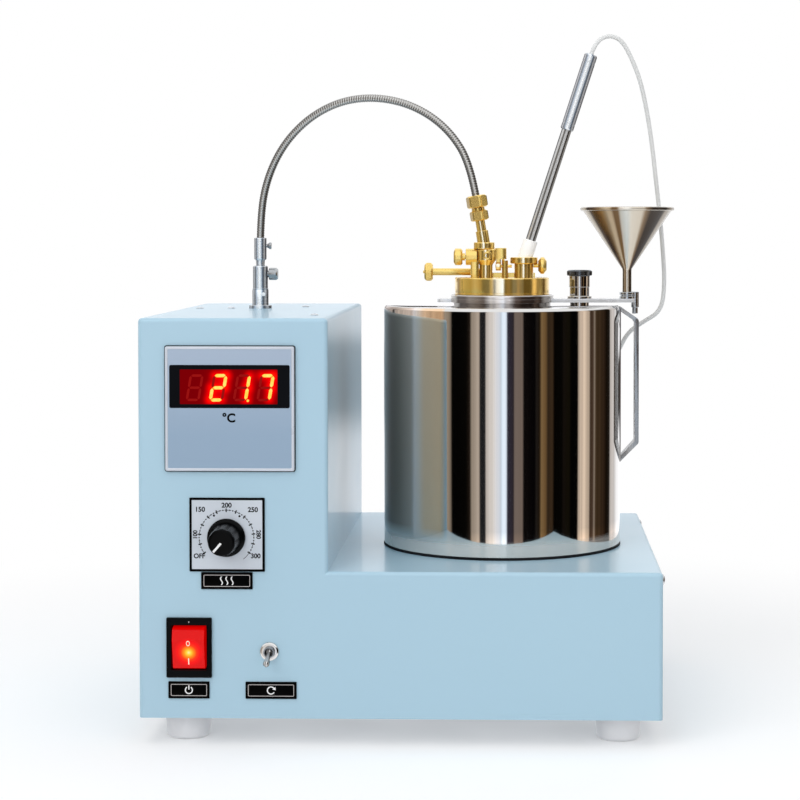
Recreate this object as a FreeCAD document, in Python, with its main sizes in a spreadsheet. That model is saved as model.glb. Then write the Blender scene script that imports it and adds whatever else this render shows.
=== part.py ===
import FreeCAD, Part
import math
import os
import re
import Sketcher
from FreeCAD import Placement, Rotation, Vector

# Closed cup flash point tester: a folded cabinet with a control tower, and a polished water bath
# that holds a brass oil cup under a lid with a stirrer, a slide, a test jet and a probe.
# Millimetres and degrees. +X to the right, +Y to the back, +Z up.
# The origin is on the bench, under the centre of the whole instrument.
# Places are counted from the cabinet's left side, its front face and the bench.

driving = {
    # Cabinet
    "cabinet_width": 285.0,
    "cabinet_depth": 238.0,
    "tower_width": 103.2,
    "base_height": 80.2,
    "tower_height": 218.0,
    "sheet_gauge": 1.2,
    "bend_radius": 2.2,
    "rear_lip": 9.0,
    "panel_overlap": 6.0,
    "plate_clearance": 0.3,
    "overrun": 2.0,
    "vent_width": 2.4,
    "vent_length": 34.0,
    "vent_pitch": 7.0,
    "vent_height": 150.0,
    # Feet
    "foot_height": 15.5,
    "foot_radius": 13.0,
    "foot_tip_radius": 12.0,
    "foot_inset_side": 23.0,
    "foot_inset_front": 26.0,
    "foot_edge": 2.5,
    "foot_recess_radius": 5.0,
    "foot_recess_depth": 6.0,
    # Screws
    "screw_radius": 1.4,
    "screw_length": 7.0,
    "screw_head_radius": 3.2,
    "screw_head_height": 1.6,
    "screw_clearance": 0.2,
    "side_screw_drop": 5.5,
    "side_screw_setback": 12.0,
    "bracket_screw_left": 29.6,
    "bracket_screw_left_y": 151.0,
    "bracket_screw_right": 72.8,
    "bracket_screw_right_y": 177.0,
    "top_screw_left": 11.0,
    "top_screw_left_y": 147.0,
    "top_screw_right": 91.8,
    "top_screw_right_y": 43.5,
    # Temperature indicator
    "bezel_left": 14.1,
    "bezel_bottom": 150.2,
    "bezel_width": 70.7,
    "bezel_height": 68.6,
    "bezel_proud": 2.4,
    "bezel_corner": 1.4,
    "cutout_border": 2.2,
    "case_clearance": 0.3,
    "case_depth": 58.0,
    "case_wall": 1.6,
    "window_left": 17.1,
    "window_bottom": 185.0,
    "window_width": 65.1,
    "window_height": 22.7,
    "window_thickness": 1.6,
    "window_recess": 0.3,
    "digit_left": 24.0,
    "digit_bottom": 187.0,
    "digit_width": 12.4,
    "digit_height": 18.6,
    "digit_depth": 7.0,
    "digit_pitch": 13.1,
    "digit_setback": 1.2,
    "board_thickness": 1.6,
    # Heater regulator
    "knob_x": 48.2,
    "knob_z": 114.4,
    "dial_width": 40.4,
    "dial_height": 40.0,
    "dial_left": 28.2,
    "dial_bottom": 96.2,
    "dial_thickness": 0.8,
    "knob_gap": 0.5,
    "skirt_radius": 10.4,
    "skirt_height": 2.6,
    "knob_base_radius": 8.4,
    "knob_top_radius": 7.3,
    "knob_height": 17.5,
    "knob_edge": 0.8,
    "knob_flutes": 10.0,
    "flute_radius": 1.6,
    "flute_cut": 0.7,
    "spindle_radius": 3.0,
    "spindle_clearance": 0.08,
    "spindle_in_knob": 11.0,
    "bush_radius": 4.7,
    "regulator_radius": 18.0,
    "regulator_depth": 24.0,
    # Label plates
    "label_thickness": 0.8,
    "heater_label_left": 34.3,
    "heater_label_width": 28.0,
    "heater_label_bottom": 86.2,
    "mains_label_left": 16.2,
    "mains_label_width": 22.4,
    "motor_label_left": 58.3,
    "motor_label_width": 27.8,
    "label_height": 9.2,
    "lower_label_bottom": 26.4,
    # Mains switch
    "rocker_frame_left": 15.3,
    "rocker_frame_width": 24.7,
    "rocker_frame_bottom": 37.9,
    "rocker_frame_height": 32.7,
    "rocker_frame_proud": 2.0,
    "rocker_border": 3.3,
    "rocker_frame_wall": 1.4,
    "rocker_body_depth": 20.0,
    "rocker_side_gap": 0.35,
    "rocker_depth": 1.0,
    "rocker_swing_radius": 11.6,
    "rocker_end_gap": 0.4,
    "rocker_face": 5.2,
    "rocker_back": 5.5,
    "rocker_tilt": 13.0,
    "rocker_pin_radius": 1.2,
    "rocker_pin_gap": 0.06,
    "rocker_wall": 1.3,
    # Motor switch
    "toggle_x": 71.4,
    "toggle_z": 52.3,
    "bushing_radius": 3.0,
    "bushing_bore": 2.3,
    "bushing_proud": 4.2,
    "toggle_case_width": 7.0,
    "toggle_case_height": 13.0,
    "toggle_case_depth": 10.0,
    "toggle_room": 4.0,
    "nut_radius": 5.1,
    "nut_height": 2.0,
    "nut_edge": 0.5,
    "lever_ball": 2.2,
    "lever_pivot": 1.0,
    "lever_tip_radius": 1.65,
    "lever_root_radius": 1.0,
    "lever_length": 14.5,
    "lever_tilt": 16.0,
    # Motor and drive
    "drive_x": 47.9,
    "drive_y": 150.0,
    "motor_radius": 18.0,
    "motor_length": 56.0,
    "motor_drop": 16.0,
    "motor_boss_radius": 6.0,
    "motor_boss_height": 4.0,
    "motor_shaft_radius": 2.0,
    "motor_shaft_rise": 38.0,
    "shaft_clearance": 0.08,
    "bracket_width": 60.0,
    "bracket_front": 112.0,
    "bracket_depth": 82.0,
    "bracket_gauge": 2.0,
    "bracket_left": 22.0,
    "bracket_lip": 14.0,
    "drive_flange_radius": 6.6,
    "drive_flange_height": 2.3,
    "drive_body_radius": 4.5,
    "drive_body_top": 245.8,
    "drive_sleeve_radius": 4.15,
    "drive_sleeve_top": 259.8,
    "drive_bore": 2.9,
    "drive_step": 0.5,
    "drive_spigot": 6.0,
    "ferrule_neck_radius": 2.55,
    "ferrule_radius": 3.5,
    "ferrule_bottom": 263.6,
    "ferrule_top": 276.5,
    "ferrule_tail": 8.0,
    "ferrule_bore": 2.2,
    "casing_seat": 266.0,
    "thumb_edge": 0.5,
    "big_screw_z": 254.6,
    "big_screw_head": 3.6,
    "big_screw_start": 5.2,
    "big_screw_end": 11.0,
    "big_screw_shank": 1.5,
    "small_screw_z": 271.9,
    "small_screw_head": 2.1,
    "small_screw_start": 4.0,
    "small_screw_end": 7.1,
    "small_screw_shank": 1.0,
    "thread_clearance": 0.06,
    # Flexible shaft
    "casing_radius": 2.35,
    "casing_bore": 1.5,
    "core_radius": 1.1,
    "casing_clearance": 0.1,
    "casing_end": 24.5,
    "casing_last_run": 23.9,
    "core_gap": 0.5,
    # Water bath
    "bath_x": 196.8,
    "bath_y": 109.9,
    "bath_radius": 70.0,
    "bath_height": 141.5,
    "bath_wall": 1.2,
    "bath_edge": 4.0,
    "gasket_height": 1.4,
    "gasket_lip": 0.7,
    "gasket_width": 8.0,
    "bath_floor_rise": 3.0,
    "bath_floor_gauge": 1.5,
    "stud_radius": 3.0,
    "stud_circle": 52.0,
    "stud_drop": 9.0,
    "stud_nut_radius": 5.4,
    "stud_nut_height": 5.0,
    "air_radius": 34.0,
    "air_gauge": 1.0,
    "air_floor": 172.0,
    "neck_bore": 27.4,
    "neck_radius": 28.8,
    "neck_flange_radius": 30.5,
    "neck_flange_bottom": 240.6,
    "neck_flange_edge": 0.8,
    "neck_spigot": 5.0,
    "heater_ring_radius": 50.0,
    "heater_tube_radius": 4.0,
    "heater_z": 116.0,
    "heater_leg_spacing": 24.0,
    "heater_leg_drop": 10.0,
    "heater_leg_radius": 3.2,
    # Oil cup
    "cup_rim_z": 243.3,
    "cup_bore": 25.4,
    "cup_wall": 1.6,
    "cup_depth": 56.0,
    "cup_flange_radius": 28.0,
    "cup_flange_height": 2.2,
    "cup_gauge_drop": 18.0,
    "cup_gauge_radius": 0.9,
    "cup_gauge_length": 7.0,
    "cup_clearance": 0.2,
    # Bath top fittings
    "bracket_plate_z": 239.0,
    "bracket_plate_gauge": 1.5,
    "bracket_plate_root": 11.0,
    "bracket_plate_tip": 6.0,
    "bracket_plate_tab": 9.5,
    "port_x": 242.7,
    "port_radius": 5.8,
    "port_bore": 4.3,
    "port_top": 254.4,
    "port_tail": 6.0,
    "cap_radius": 7.6,
    "cap_height": 3.4,
    "cap_skirt": 5.0,
    "cap_gap": 0.1,
    "cap_seat": 0.05,
    "cap_edge": 0.7,
    "holder_radius": 4.5,
    "holder_top": 244.8,
    "holder_stud_radius": 1.3,
    "holder_stud_drop": 6.0,
    "holder_stud_offset": 3.4,
    # Funnel
    "funnel_x": 270.8,
    "funnel_rim_radius": 26.8,
    "funnel_rim_z": 294.6,
    "funnel_tip_z": 258.4,
    "funnel_stem_radius": 2.7,
    "funnel_wall": 0.7,
    "funnel_stem_wall": 0.6,
    "funnel_bead": 1.2,
    "funnel_clearance": 0.3,
    # Bath handle
    "handle_reach": 277.3,
    "handle_gauge": 1.7,
    "handle_width": 14.0,
    "handle_top": 236.0,
    "handle_shoulder_top": 228.7,
    "handle_shoulder_bottom": 155.9,
    "handle_bottom": 145.6,
    "handle_foot_gauge": 1.5,
    # Cover
    "cover_radius": 28.0,
    "cover_height": 10.1,
    "cover_gauge": 2.4,
    "cover_wall": 2.4,
    "cover_bead": 0.7,
    "port_pitch": 8.0,
    "port_width": 3.2,
    "port_length": 5.4,
    "slide_travel": 4.0,
    "slide_y": 124.7,
    "middle_port_x": 197.4,
    "shutter_length": 26.0,
    "shutter_width": 8.0,
    "shutter_gauge": 1.2,
    "shutter_lift": 0.2,
    "rail_width": 1.5,
    "rail_height": 2.4,
    "rail_lip": 0.8,
    "rail_clearance": 0.2,
    # Slide rod and its guide
    "rod_z": 256.9,
    "rod_radius": 1.9,
    "rod_start": 155.2,
    "rod_lug_width": 1.8,
    "guide_left": 177.8,
    "guide_width": 4.0,
    "guide_depth": 8.0,
    "guide_height": 7.6,
    "guide_clearance": 0.06,
    "pull_knob_radius": 5.3,
    "pull_knob_length": 5.1,
    "pull_knob_edge": 0.9,
    "pull_stud_radius": 0.9,
    "pull_stud_length": 0.9,
    # Stirrer socket, leaning
    "column_x": 187.3,
    "column_radius": 4.2,
    "stirrer_y": 107.9,
    "head_block_width": 10.6,
    "head_block_depth": 10.6,
    "head_block_bottom": 260.6,
    "head_block_top": 270.2,
    "head_overlap": 1.0,
    "lean_x": 186.2,
    "lean_z": 272.3,
    "stirrer_lean": 9.4,
    "collar_radius": 6.25,
    "collar_height": 3.9,
    "thick_stem_radius": 3.75,
    "thick_stem_top": 8.8,
    "thin_stem_radius": 2.85,
    "thin_stem_top": 21.5,
    "socket_bore": 1.35,
    "lower_nut_start": 14.9,
    "lower_nut_height": 6.0,
    "lower_nut_radius": 5.7,
    "nut_neck_radius": 3.9,
    "nut_neck_height": 1.7,
    "upper_nut_start": 22.7,
    "upper_nut_height": 7.2,
    "upper_nut_radius": 6.5,
    "hex_edge": 0.6,
    # Stirrer
    "stirrer_radius": 1.25,
    "stirrer_top": 24.0,
    "stirrer_bottom": 80.0,
    "blade_reach": 8.5,
    "blade_height": 6.0,
    "blade_gauge": 1.0,
    "blade_hub_radius": 2.2,
    # Gas valve
    "valve_z": 265.6,
    "valve_radius": 4.9,
    "valve_start": 175.3,
    "valve_neck_radius": 2.2,
    "valve_knob_start": 168.2,
    "valve_knob_length": 5.2,
    "valve_knob_radius": 5.0,
    "valve_spindle_radius": 1.4,
    "valve_spindle_length": 4.5,
    "thread_gap": 0.3,
    "valve_post_width": 4.8,
    "valve_post_left": 178.4,
    # Test jet
    "jet_pin_y": 111.0,
    "jet_pin_z": 260.0,
    "jet_pin_radius": 0.9,
    "jet_sleeve_radius": 2.6,
    "jet_sleeve_left": 193.0,
    "jet_sleeve_right": 196.2,
    "jet_block_left": 193.2,
    "jet_block_width": 6.2,
    "jet_block_depth": 7.0,
    "jet_block_bottom": 264.2,
    "jet_block_height": 6.6,
    "jet_block_edge": 1.0,
    "jet_tube_radius": 0.9,
    "jet_tube_reach": 12.6,
    "jet_tube_length": 11.4,
    "jet_tube_drop": 32.0,
    "jet_post_x": 198.5,
    "jet_post_radius": 1.85,
    "jet_post_top": 263.4,
    "jet_pin_end": 202.6,
    # Probe socket and probe
    "probe_y": 111.9,
    "socket_x": 209.7,
    "socket_radius": 5.7,
    "socket_flange_radius": 8.2,
    "socket_flange_bottom": 261.6,
    "socket_flange_top": 265.3,
    "probe_lean": 18.05,
    "probe_offset": 0.7,
    "probe_radius": 3.0,
    "probe_tip_radius": 2.0,
    "probe_tip_length": 46.0,
    "probe_fit": 0.1,
    "sleeve_radius": 4.35,
    "sleeve_tail": 1.5,
    "sleeve_length": 12.2,
    "probe_length": 87.0,
    "probe_handle_radius": 3.9,
    "probe_handle_start": 79.4,
    "probe_handle_end": 126.2,
    "probe_handle_plug": 5.0,
    "probe_handle_edge": 0.8,
    "clamp_z": 260.4,
    "clamp_start": 218.2,
    "clamp_length": 5.0,
    "clamp_radius": 5.0,
    "clamp_waist": 3.0,
    "clamp_shank": 1.2,
    "clamp_seat": 1.6,
    # Probe lead
    "lead_radius": 1.3,
    "gland_radius": 5.5,
    "gland_length": 8.0,
    "gland_step": 1.5,
    "gland_x": 221.0,
    "gland_z": 54.0,
    # Mains inlet
    "inlet_x": 58.0,
    "inlet_z": 62.0,
    "inlet_width": 27.6,
    "inlet_height": 47.0,
    "inlet_flange": 2.8,
    "inlet_border": 3.0,
    "inlet_depth": 24.0,
    "inlet_well_width": 21.0,
    "inlet_well_height": 17.0,
    "inlet_well_depth": 16.0,
    "pin_width": 2.0,
    "pin_height": 4.0,
    "pin_length": 13.0,
    "pin_spacing": 7.0,
}

derived = {
    "base_top": "foot_height + base_height",
    "tower_top": "foot_height + tower_height",
    "knob_reach": "dial_thickness + knob_gap + knob_height",
    "panel_back": "cabinet_depth + sheet_gauge",
    "cabinet_left": "-(funnel_x + funnel_rim_radius + funnel_bead / 2 - screw_head_height) / 2",
    "cabinet_front": "-(panel_back + inlet_flange - knob_reach) / 2",
    "bath_top": "base_top + bath_height",
    "cover_top": "cup_rim_z + cover_height",
    "shutter_bottom": "cover_top + shutter_lift",
    "shutter_left": "middle_port_x - shutter_length / 2 + slide_travel / 2",
}

doc = FreeCAD.newDocument("FlashPointTester")
sheet = doc.addObject("Spreadsheet::Sheet", "Sizes")


def fill_sheet():
    rows = [(word, str(size)) for word, size in driving.items()]
    rows += [(word, "=" + formula) for word, formula in derived.items()]
    for row, (word, content) in enumerate(rows, start=1):
        sheet.set(f"A{row}", word)
        sheet.set(f"B{row}", content)
        sheet.setAlias(f"B{row}", word)
    sheet.recompute()


fill_sheet()


# Helpers: a size is written as text, in the sheet's words


def bound(text):
    return re.sub(r"\b[a-z]\w*\b(?!\()", r"Sizes.\g<0>", text)


known = {}


def number(text):
    if text not in known:
        sheet.set("D1", "=" + text)
        sheet.recompute()
        known[text] = float(sheet.get("D1"))
    return known[text]


def turned_by(axis, angle):
    return Rotation(Vector(*axis), number(angle))


TO_FRONT = ((1, 0, 0), "90")
TO_BACK = ((-1, 0, 0), "90")
TO_RIGHT = ((0, 1, 0), "90")
TO_LEFT = ((0, -1, 0), "90")
LEANS_LEFT = ((0, -1, 0), "stirrer_lean")
LEANS_RIGHT = ((0, 1, 0), "probe_lean")


def place(piece, spot, turn=None):
    if turn:
        piece.Placement = Placement(Vector(), turned_by(*turn))
    x, y, z = spot
    piece.setExpression("Placement.Base.x", bound(f"cabinet_left + {x}"))
    piece.setExpression("Placement.Base.y", bound(f"cabinet_front + {y}"))
    piece.setExpression("Placement.Base.z", bound(z))
    return piece


def sized(kind, name, sizes, spot, turn):
    piece = doc.addObject(kind, name)
    for prop, text in sizes.items():
        piece.setExpression(prop, bound(text))
    return place(piece, spot, turn)


def cylinder(name, radius, height, spot, turn=None):
    return sized("Part::Cylinder", name, {"Radius": radius, "Height": height}, spot, turn)


def cone(name, low, high, height, spot, turn=None):
    sizes = {"Radius1": low, "Radius2": high, "Height": height}
    return sized("Part::Cone", name, sizes, spot, turn)


def block(name, width, depth, height, spot, turn=None):
    sizes = {"Length": width, "Width": depth, "Height": height}
    return sized("Part::Box", name, sizes, spot, turn)


def ball(name, radius, spot):
    return sized("Part::Sphere", name, {"Radius": radius}, spot, None)


def joined(name, *pieces):
    fuse = doc.addObject("Part::MultiFuse", name)
    fuse.Shapes = list(pieces)
    fuse.Refine = True
    return fuse


def less(name, base, *tools):
    tool = tools[0] if len(tools) == 1 else joined(name + "_tools", *tools)
    cut = doc.addObject("Part::Cut", name)
    cut.Base = base
    cut.Tool = tool
    cut.Refine = True
    return cut


def shared(name, one, other):
    common = doc.addObject("Part::Common", name)
    common.Base = one
    common.Tool = other
    common.Refine = True
    return common


def group(name, pieces):
    several = doc.addObject("Part::Compound", name)
    several.Links = pieces
    return several


def pin(sketch, corner, direction, text):
    value = number(text)
    if abs(value) < 1e-9:
        axis = -2 if direction == "DistanceX" else -1
        sketch.addConstraint(Sketcher.Constraint("PointOnObject", corner, 1, axis))
        return
    index = sketch.addConstraint(Sketcher.Constraint(direction, -1, 1, corner, 1, value))
    sketch.setExpression(f"Constraints[{index}]", bound(text))


def drawn(body, outline, plane):
    sketch = body.newObject("Sketcher::SketchObject", body.Name + "_outline")
    ground = next(part for part in body.Origin.OriginFeatures if part.Role == plane)
    sketch.AttachmentSupport = [(ground, "")]
    sketch.MapMode = "FlatFace"
    corners = [Vector(number(x), number(y), 0) for x, y in outline]
    last = len(corners) - 1
    for index, corner in enumerate(corners):
        following = corners[0 if index == last else index + 1]
        sketch.addGeometry(Part.LineSegment(corner, following))
    for index in range(len(corners)):
        following = 0 if index == last else index + 1
        sketch.addConstraint(Sketcher.Constraint("Coincident", index, 2, following, 1))
    for index, (x, y) in enumerate(outline):
        pin(sketch, index, "DistanceX", x)
        pin(sketch, index, "DistanceY", y)
    sketch.Visibility = False
    return sketch


def lathed(name, outline, spot, turn=None):
    body = doc.addObject("PartDesign::Body", name)
    sketch = drawn(body, outline, "XZ_Plane")
    feature = body.newObject("PartDesign::Revolution", name + "_turning")
    feature.Profile = (sketch, [""])
    feature.ReferenceAxis = (sketch, ["V_Axis"])
    feature.Angle = 360
    return place(body, spot, turn)


def padded(name, outline, thickness, spot, plane="XY_Plane", turn=None):
    body = doc.addObject("PartDesign::Body", name)
    sketch = drawn(body, outline, plane)
    feature = body.newObject("PartDesign::Pad", name + "_pad")
    feature.Profile = (sketch, [""])
    feature.setExpression("Length", bound(thickness))
    return place(body, spot, turn)


def rounded(name, base, radius, chosen):
    doc.recompute()
    size = number(radius)
    edges = [index for index, edge in enumerate(base.Shape.Edges, start=1) if chosen(edge)]
    fillet = doc.addObject("Part::Fillet", name)
    fillet.Base = base
    fillet.Edges = [(index, size, size) for index in edges]
    return fillet


def hexagon(name, radius, height, spot, turn=None):
    nut = doc.addObject("Part::Prism", name)
    nut.Polygon = 6
    nut.setExpression("Circumradius", bound(radius))
    nut.setExpression("Height", bound(height))
    return place(nut, spot, turn)


def along(distance, extra="0"):
    # A place on the stirrer's leaning axis, counted upwards from the socket's collar
    return (
        f"lean_x - ({distance}) * sin(stirrer_lean) + {extra}",
        "stirrer_y",
        f"lean_z + ({distance}) * cos(stirrer_lean)",
    )


def on_probe(distance):
    # A place on the probe's leaning axis, counted upwards from the socket's flange
    return (
        f"socket_x + probe_offset + ({distance}) * sin(probe_lean)",
        "probe_y",
        f"socket_flange_top + ({distance}) * cos(probe_lean)",
    )


# Fasteners


def screw(name, length):
    # A round-headed screw with its seat at height zero, as a pattern for copies
    body = doc.addObject("PartDesign::Body", name)
    outline = [
        ("0", f"-({length})"),
        ("screw_radius", f"-({length})"),
        ("screw_radius", "0"),
        ("screw_head_radius", "0"),
        ("screw_head_radius", "screw_head_height / 2"),
        ("screw_head_radius * 0.7", "screw_head_height"),
        ("0", "screw_head_height"),
    ]
    sketch = drawn(body, outline, "XZ_Plane")
    feature = body.newObject("PartDesign::Revolution", name + "_turning")
    feature.Profile = (sketch, [""])
    feature.ReferenceAxis = (sketch, ["V_Axis"])
    feature.Angle = 360
    return body


def spot_of(spot):
    x, y, z = spot
    return Vector(number(f"cabinet_left + {x}"), number(f"cabinet_front + {y}"), number(z))


def copied(pattern, spots, turn=None):
    spin = turned_by(*turn) if turn else Rotation()
    copies = []
    for spot in spots:
        one = pattern.Shape.copy()
        one.Placement = Placement(spot_of(spot), spin)
        copies.append(one)
    return copies


FEET = [
    (x, y, "0")
    for x in ("foot_inset_side", "cabinet_width - foot_inset_side")
    for y in ("foot_inset_front", "cabinet_depth - foot_inset_front")
]
SIDE_SCREW_ROWS = ("side_screw_setback", "cabinet_depth - side_screw_setback")
SIDE_SCREW_Z = "base_top - side_screw_drop"
TOP_SCREWS = [
    ("bracket_screw_left", "bracket_screw_left_y"),
    ("bracket_screw_right", "bracket_screw_right_y"),
    ("top_screw_left", "top_screw_left_y"),
    ("top_screw_right", "top_screw_right_y"),
]
EDGE = "(rear_lip - panel_overlap + screw_head_radius + plate_clearance)"
PANEL_SCREWS = [
    (f"{EDGE}", f"foot_height + {EDGE}"),
    (f"cabinet_width - {EDGE}", f"foot_height + {EDGE}"),
    (f"cabinet_width - {EDGE}", f"base_top - {EDGE}"),
    (f"{EDGE}", f"tower_top - {EDGE}"),
    (f"tower_width - {EDGE}", f"tower_top - {EDGE}"),
]
STUD_TURNS = ("90", "210", "330")


def stud_spot(turn, z):
    x = f"bath_x + stud_circle * cos({turn})"
    y = f"bath_y + stud_circle * sin({turn})"
    return (x, y, z)


def make_fasteners():
    long_screw = screw("foot_screw", "foot_height - foot_recess_depth + sheet_gauge + screw_radius * 2")
    short_screw = screw("short_screw", "screw_length")
    nut = hexagon("stud_nut", "stud_nut_radius", "stud_nut_height", ("0", "0", "0"))
    bore = cylinder("stud_nut_bore", "stud_radius", "stud_nut_height", ("0", "0", "0"))
    nut = less("stud_nut_bored", nut, bore)
    doc.recompute()
    pieces = copied(long_screw, [(x, y, "foot_recess_depth") for x, y, _ in FEET], ((1, 0, 0), "180"))
    right = [("cabinet_width", y, SIDE_SCREW_Z) for y in SIDE_SCREW_ROWS]
    left = [("0", y, SIDE_SCREW_Z) for y in SIDE_SCREW_ROWS]
    pieces += copied(short_screw, right, TO_RIGHT)
    pieces += copied(short_screw, left, TO_LEFT)
    pieces += copied(short_screw, [(x, y, "tower_top") for x, y in TOP_SCREWS])
    pieces += copied(short_screw, [(x, "panel_back", z) for x, z in PANEL_SCREWS], TO_BACK)
    flat = nut.Shape.copy()
    flat.translate(Vector(-number("cabinet_left"), -number("cabinet_front"), 0))
    below = "base_top - sheet_gauge - stud_nut_height"
    for turn in STUD_TURNS:
        one = flat.copy()
        one.translate(spot_of(stud_spot(turn, below)))
        pieces.append(one)
    holder = doc.addObject("Part::Feature", "fasteners")
    holder.Shape = Part.makeCompound(pieces)
    return holder


def screw_holes(name, spots, length, turn):
    radius = "screw_radius + screw_clearance"
    return [
        cylinder(f"{name}_{index}", radius, length, spot, turn)
        for index, spot in enumerate(spots, start=1)
    ]


# Cabinet


def make_casing():
    base = block("casing_base", "cabinet_width", "cabinet_depth", "base_height", ("0", "0", "foot_height"))
    tower = block("casing_tower", "tower_width", "cabinet_depth", "tower_height", ("0", "0", "foot_height"))
    solid = joined("casing_solid", base, tower)
    doc.recompute()
    low = number("foot_height")
    rear = number("cabinet_front + cabinet_depth")
    fold_x = number("cabinet_left + tower_width")
    fold_z = number("base_top")

    def bent(edge):
        middle = edge.CenterOfMass
        on_floor = abs(middle.z - low) < 1e-3
        on_rear = abs(middle.y - rear) < 1e-3
        in_fold = abs(middle.x - fold_x) < 1e-3 and abs(middle.z - fold_z) < 1e-3
        return not (on_floor or on_rear or in_fold)

    shell = rounded("casing_bent", solid, "bend_radius", bent)
    tools = []
    for word, width, height in (
        ("base", "cabinet_width", "base_height"),
        ("tower", "tower_width", "tower_height"),
    ):
        tools.append(block(
            f"casing_{word}_room",
            f"{width} - 2 * sheet_gauge",
            "cabinet_depth - 2 * sheet_gauge",
            f"{height} - sheet_gauge + overrun",
            ("sheet_gauge", "sheet_gauge", "foot_height - overrun"),
        ))
        tools.append(block(
            f"casing_{word}_rear_opening",
            f"{width} - 2 * rear_lip",
            "2 * overrun + sheet_gauge",
            f"{height} - 2 * rear_lip",
            ("rear_lip", "cabinet_depth - sheet_gauge - overrun", "foot_height + rear_lip"),
        ))
    tools.append(block(
        "casing_indicator_cutout",
        "bezel_width - 2 * cutout_border + 2 * case_clearance",
        "sheet_gauge + 2 * overrun",
        "bezel_height - 2 * cutout_border + 2 * case_clearance",
        ("bezel_left + cutout_border - case_clearance", "-overrun",
         "bezel_bottom + cutout_border - case_clearance"),
    ))
    tools.append(block(
        "casing_switch_cutout",
        "rocker_frame_width - 2 * rocker_frame_wall + 2 * case_clearance",
        "sheet_gauge + 2 * overrun",
        "rocker_frame_height - 2 * rocker_frame_wall + 2 * case_clearance",
        ("rocker_frame_left + rocker_frame_wall - case_clearance", "-overrun",
         "rocker_frame_bottom + rocker_frame_wall - case_clearance"),
    ))
    through = "sheet_gauge + 2 * overrun"
    for word, x, z, radius in (
        ("regulator", "knob_x", "knob_z", "bush_radius + case_clearance"),
        ("toggle", "toggle_x", "toggle_z", "bushing_radius + thread_clearance"),
    ):
        start = (x, "sheet_gauge + overrun", z)
        tools.append(cylinder(f"casing_{word}_hole", radius, through, start, TO_FRONT))
    above = "tower_top - sheet_gauge - overrun"
    tools.append(cylinder("casing_drive_hole", "drive_body_radius + thread_clearance", through,
                          ("drive_x", "drive_y", above)))
    tools += screw_holes("casing_top_hole", [(x, y, above) for x, y in TOP_SCREWS], through, None)
    under = "base_top - sheet_gauge - overrun"
    for index, turn in enumerate(STUD_TURNS, start=1):
        tools.append(cylinder(f"casing_stud_hole_{index}", "stud_radius + screw_clearance", through,
                              stud_spot(turn, under)))
    for index, side in enumerate(("-", "+"), start=1):
        tools.append(cylinder(f"casing_leg_hole_{index}", "heater_leg_radius + case_clearance", through,
                              leg_spot(side, under)))
    wide = "cabinet_width + 2 * overrun"
    sides = [("-overrun", y, SIDE_SCREW_Z) for y in SIDE_SCREW_ROWS]
    tools += screw_holes("casing_side_hole", sides, wide, TO_RIGHT)
    backs = [(x, "cabinet_depth - sheet_gauge - overrun", z) for x, z in PANEL_SCREWS]
    tools += screw_holes("casing_rear_hole", backs, through, TO_BACK)
    return less("casing", shell, *tools)


def leg_spot(side, z):
    return (f"bath_x {side} heater_leg_spacing / 2", "bath_y + heater_ring_radius", z)


def make_base_plate():
    # A tray whose two tall sides are screwed to the casing's side walls
    inset = "(sheet_gauge + plate_clearance / 2)"
    width = f"cabinet_width - 2 * {inset}"
    depth = "cabinet_depth - 2 * sheet_gauge - 2 * plate_clearance"
    front = "sheet_gauge + plate_clearance"
    floor = block("tray_floor", width, depth, "sheet_gauge", (inset, front, "foot_height"))
    height = "base_height - sheet_gauge - plate_clearance"
    left = block("tray_left", "sheet_gauge", depth, height, (inset, front, "foot_height"))
    right = block("tray_right", "sheet_gauge", depth, height,
                  (f"cabinet_width - {inset} - sheet_gauge", front, "foot_height"))
    tray = joined("tray", floor, left, right)
    feet = [(x, y, "foot_height - overrun") for x, y, _ in FEET]
    holes = screw_holes("tray_foot_hole", feet, "sheet_gauge + 2 * overrun", None)
    sides = [("-overrun", y, SIDE_SCREW_Z) for y in SIDE_SCREW_ROWS]
    holes += screw_holes("tray_side_hole", sides, "cabinet_width + 2 * overrun", TO_RIGHT)
    for row in range(4):
        holes.append(block(
            f"tray_vent_{row + 1}", "vent_length", "vent_width", "sheet_gauge + 2 * overrun",
            ("cabinet_width / 2 - vent_length / 2",
             f"cabinet_depth / 2 + {row} * vent_pitch", "foot_height - overrun"),
        ))
    return less("base_plate", tray, *holes)


def make_rear_panel():
    edge = "(rear_lip - panel_overlap)"
    low = block("panel_low", f"cabinet_width - 2 * {edge}", "sheet_gauge", f"base_height - 2 * {edge}",
                (edge, "cabinet_depth", f"foot_height + {edge}"))
    high = block("panel_high", f"tower_width - 2 * {edge}", "sheet_gauge", f"tower_height - 2 * {edge}",
                 (edge, "cabinet_depth", f"foot_height + {edge}"))
    panel = joined("panel", low, high)
    before = "cabinet_depth - overrun"
    through = "sheet_gauge + 2 * overrun"
    tools = screw_holes("panel_screw_hole", [(x, before, z) for x, z in PANEL_SCREWS], through, TO_BACK)
    for row in range(7):
        start = ("tower_width / 2 - vent_length / 2", before, f"vent_height + {row} * vent_pitch")
        tools.append(block(f"panel_vent_{row + 1}", "vent_length", through, "vent_width", start))
    tools.append(block(
        "panel_inlet_hole",
        "inlet_width - 2 * inlet_border + 2 * case_clearance", through,
        "inlet_height - 2 * inlet_border + 2 * case_clearance",
        ("inlet_x - inlet_width / 2 + inlet_border - case_clearance", before,
         "inlet_z - inlet_height / 2 + inlet_border - case_clearance"),
    ))
    tools.append(cylinder("panel_gland_hole", "gland_radius - gland_step + thread_clearance", through,
                          ("gland_x", before, "gland_z"), TO_BACK))
    return less("rear_panel", panel, *tools)


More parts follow.
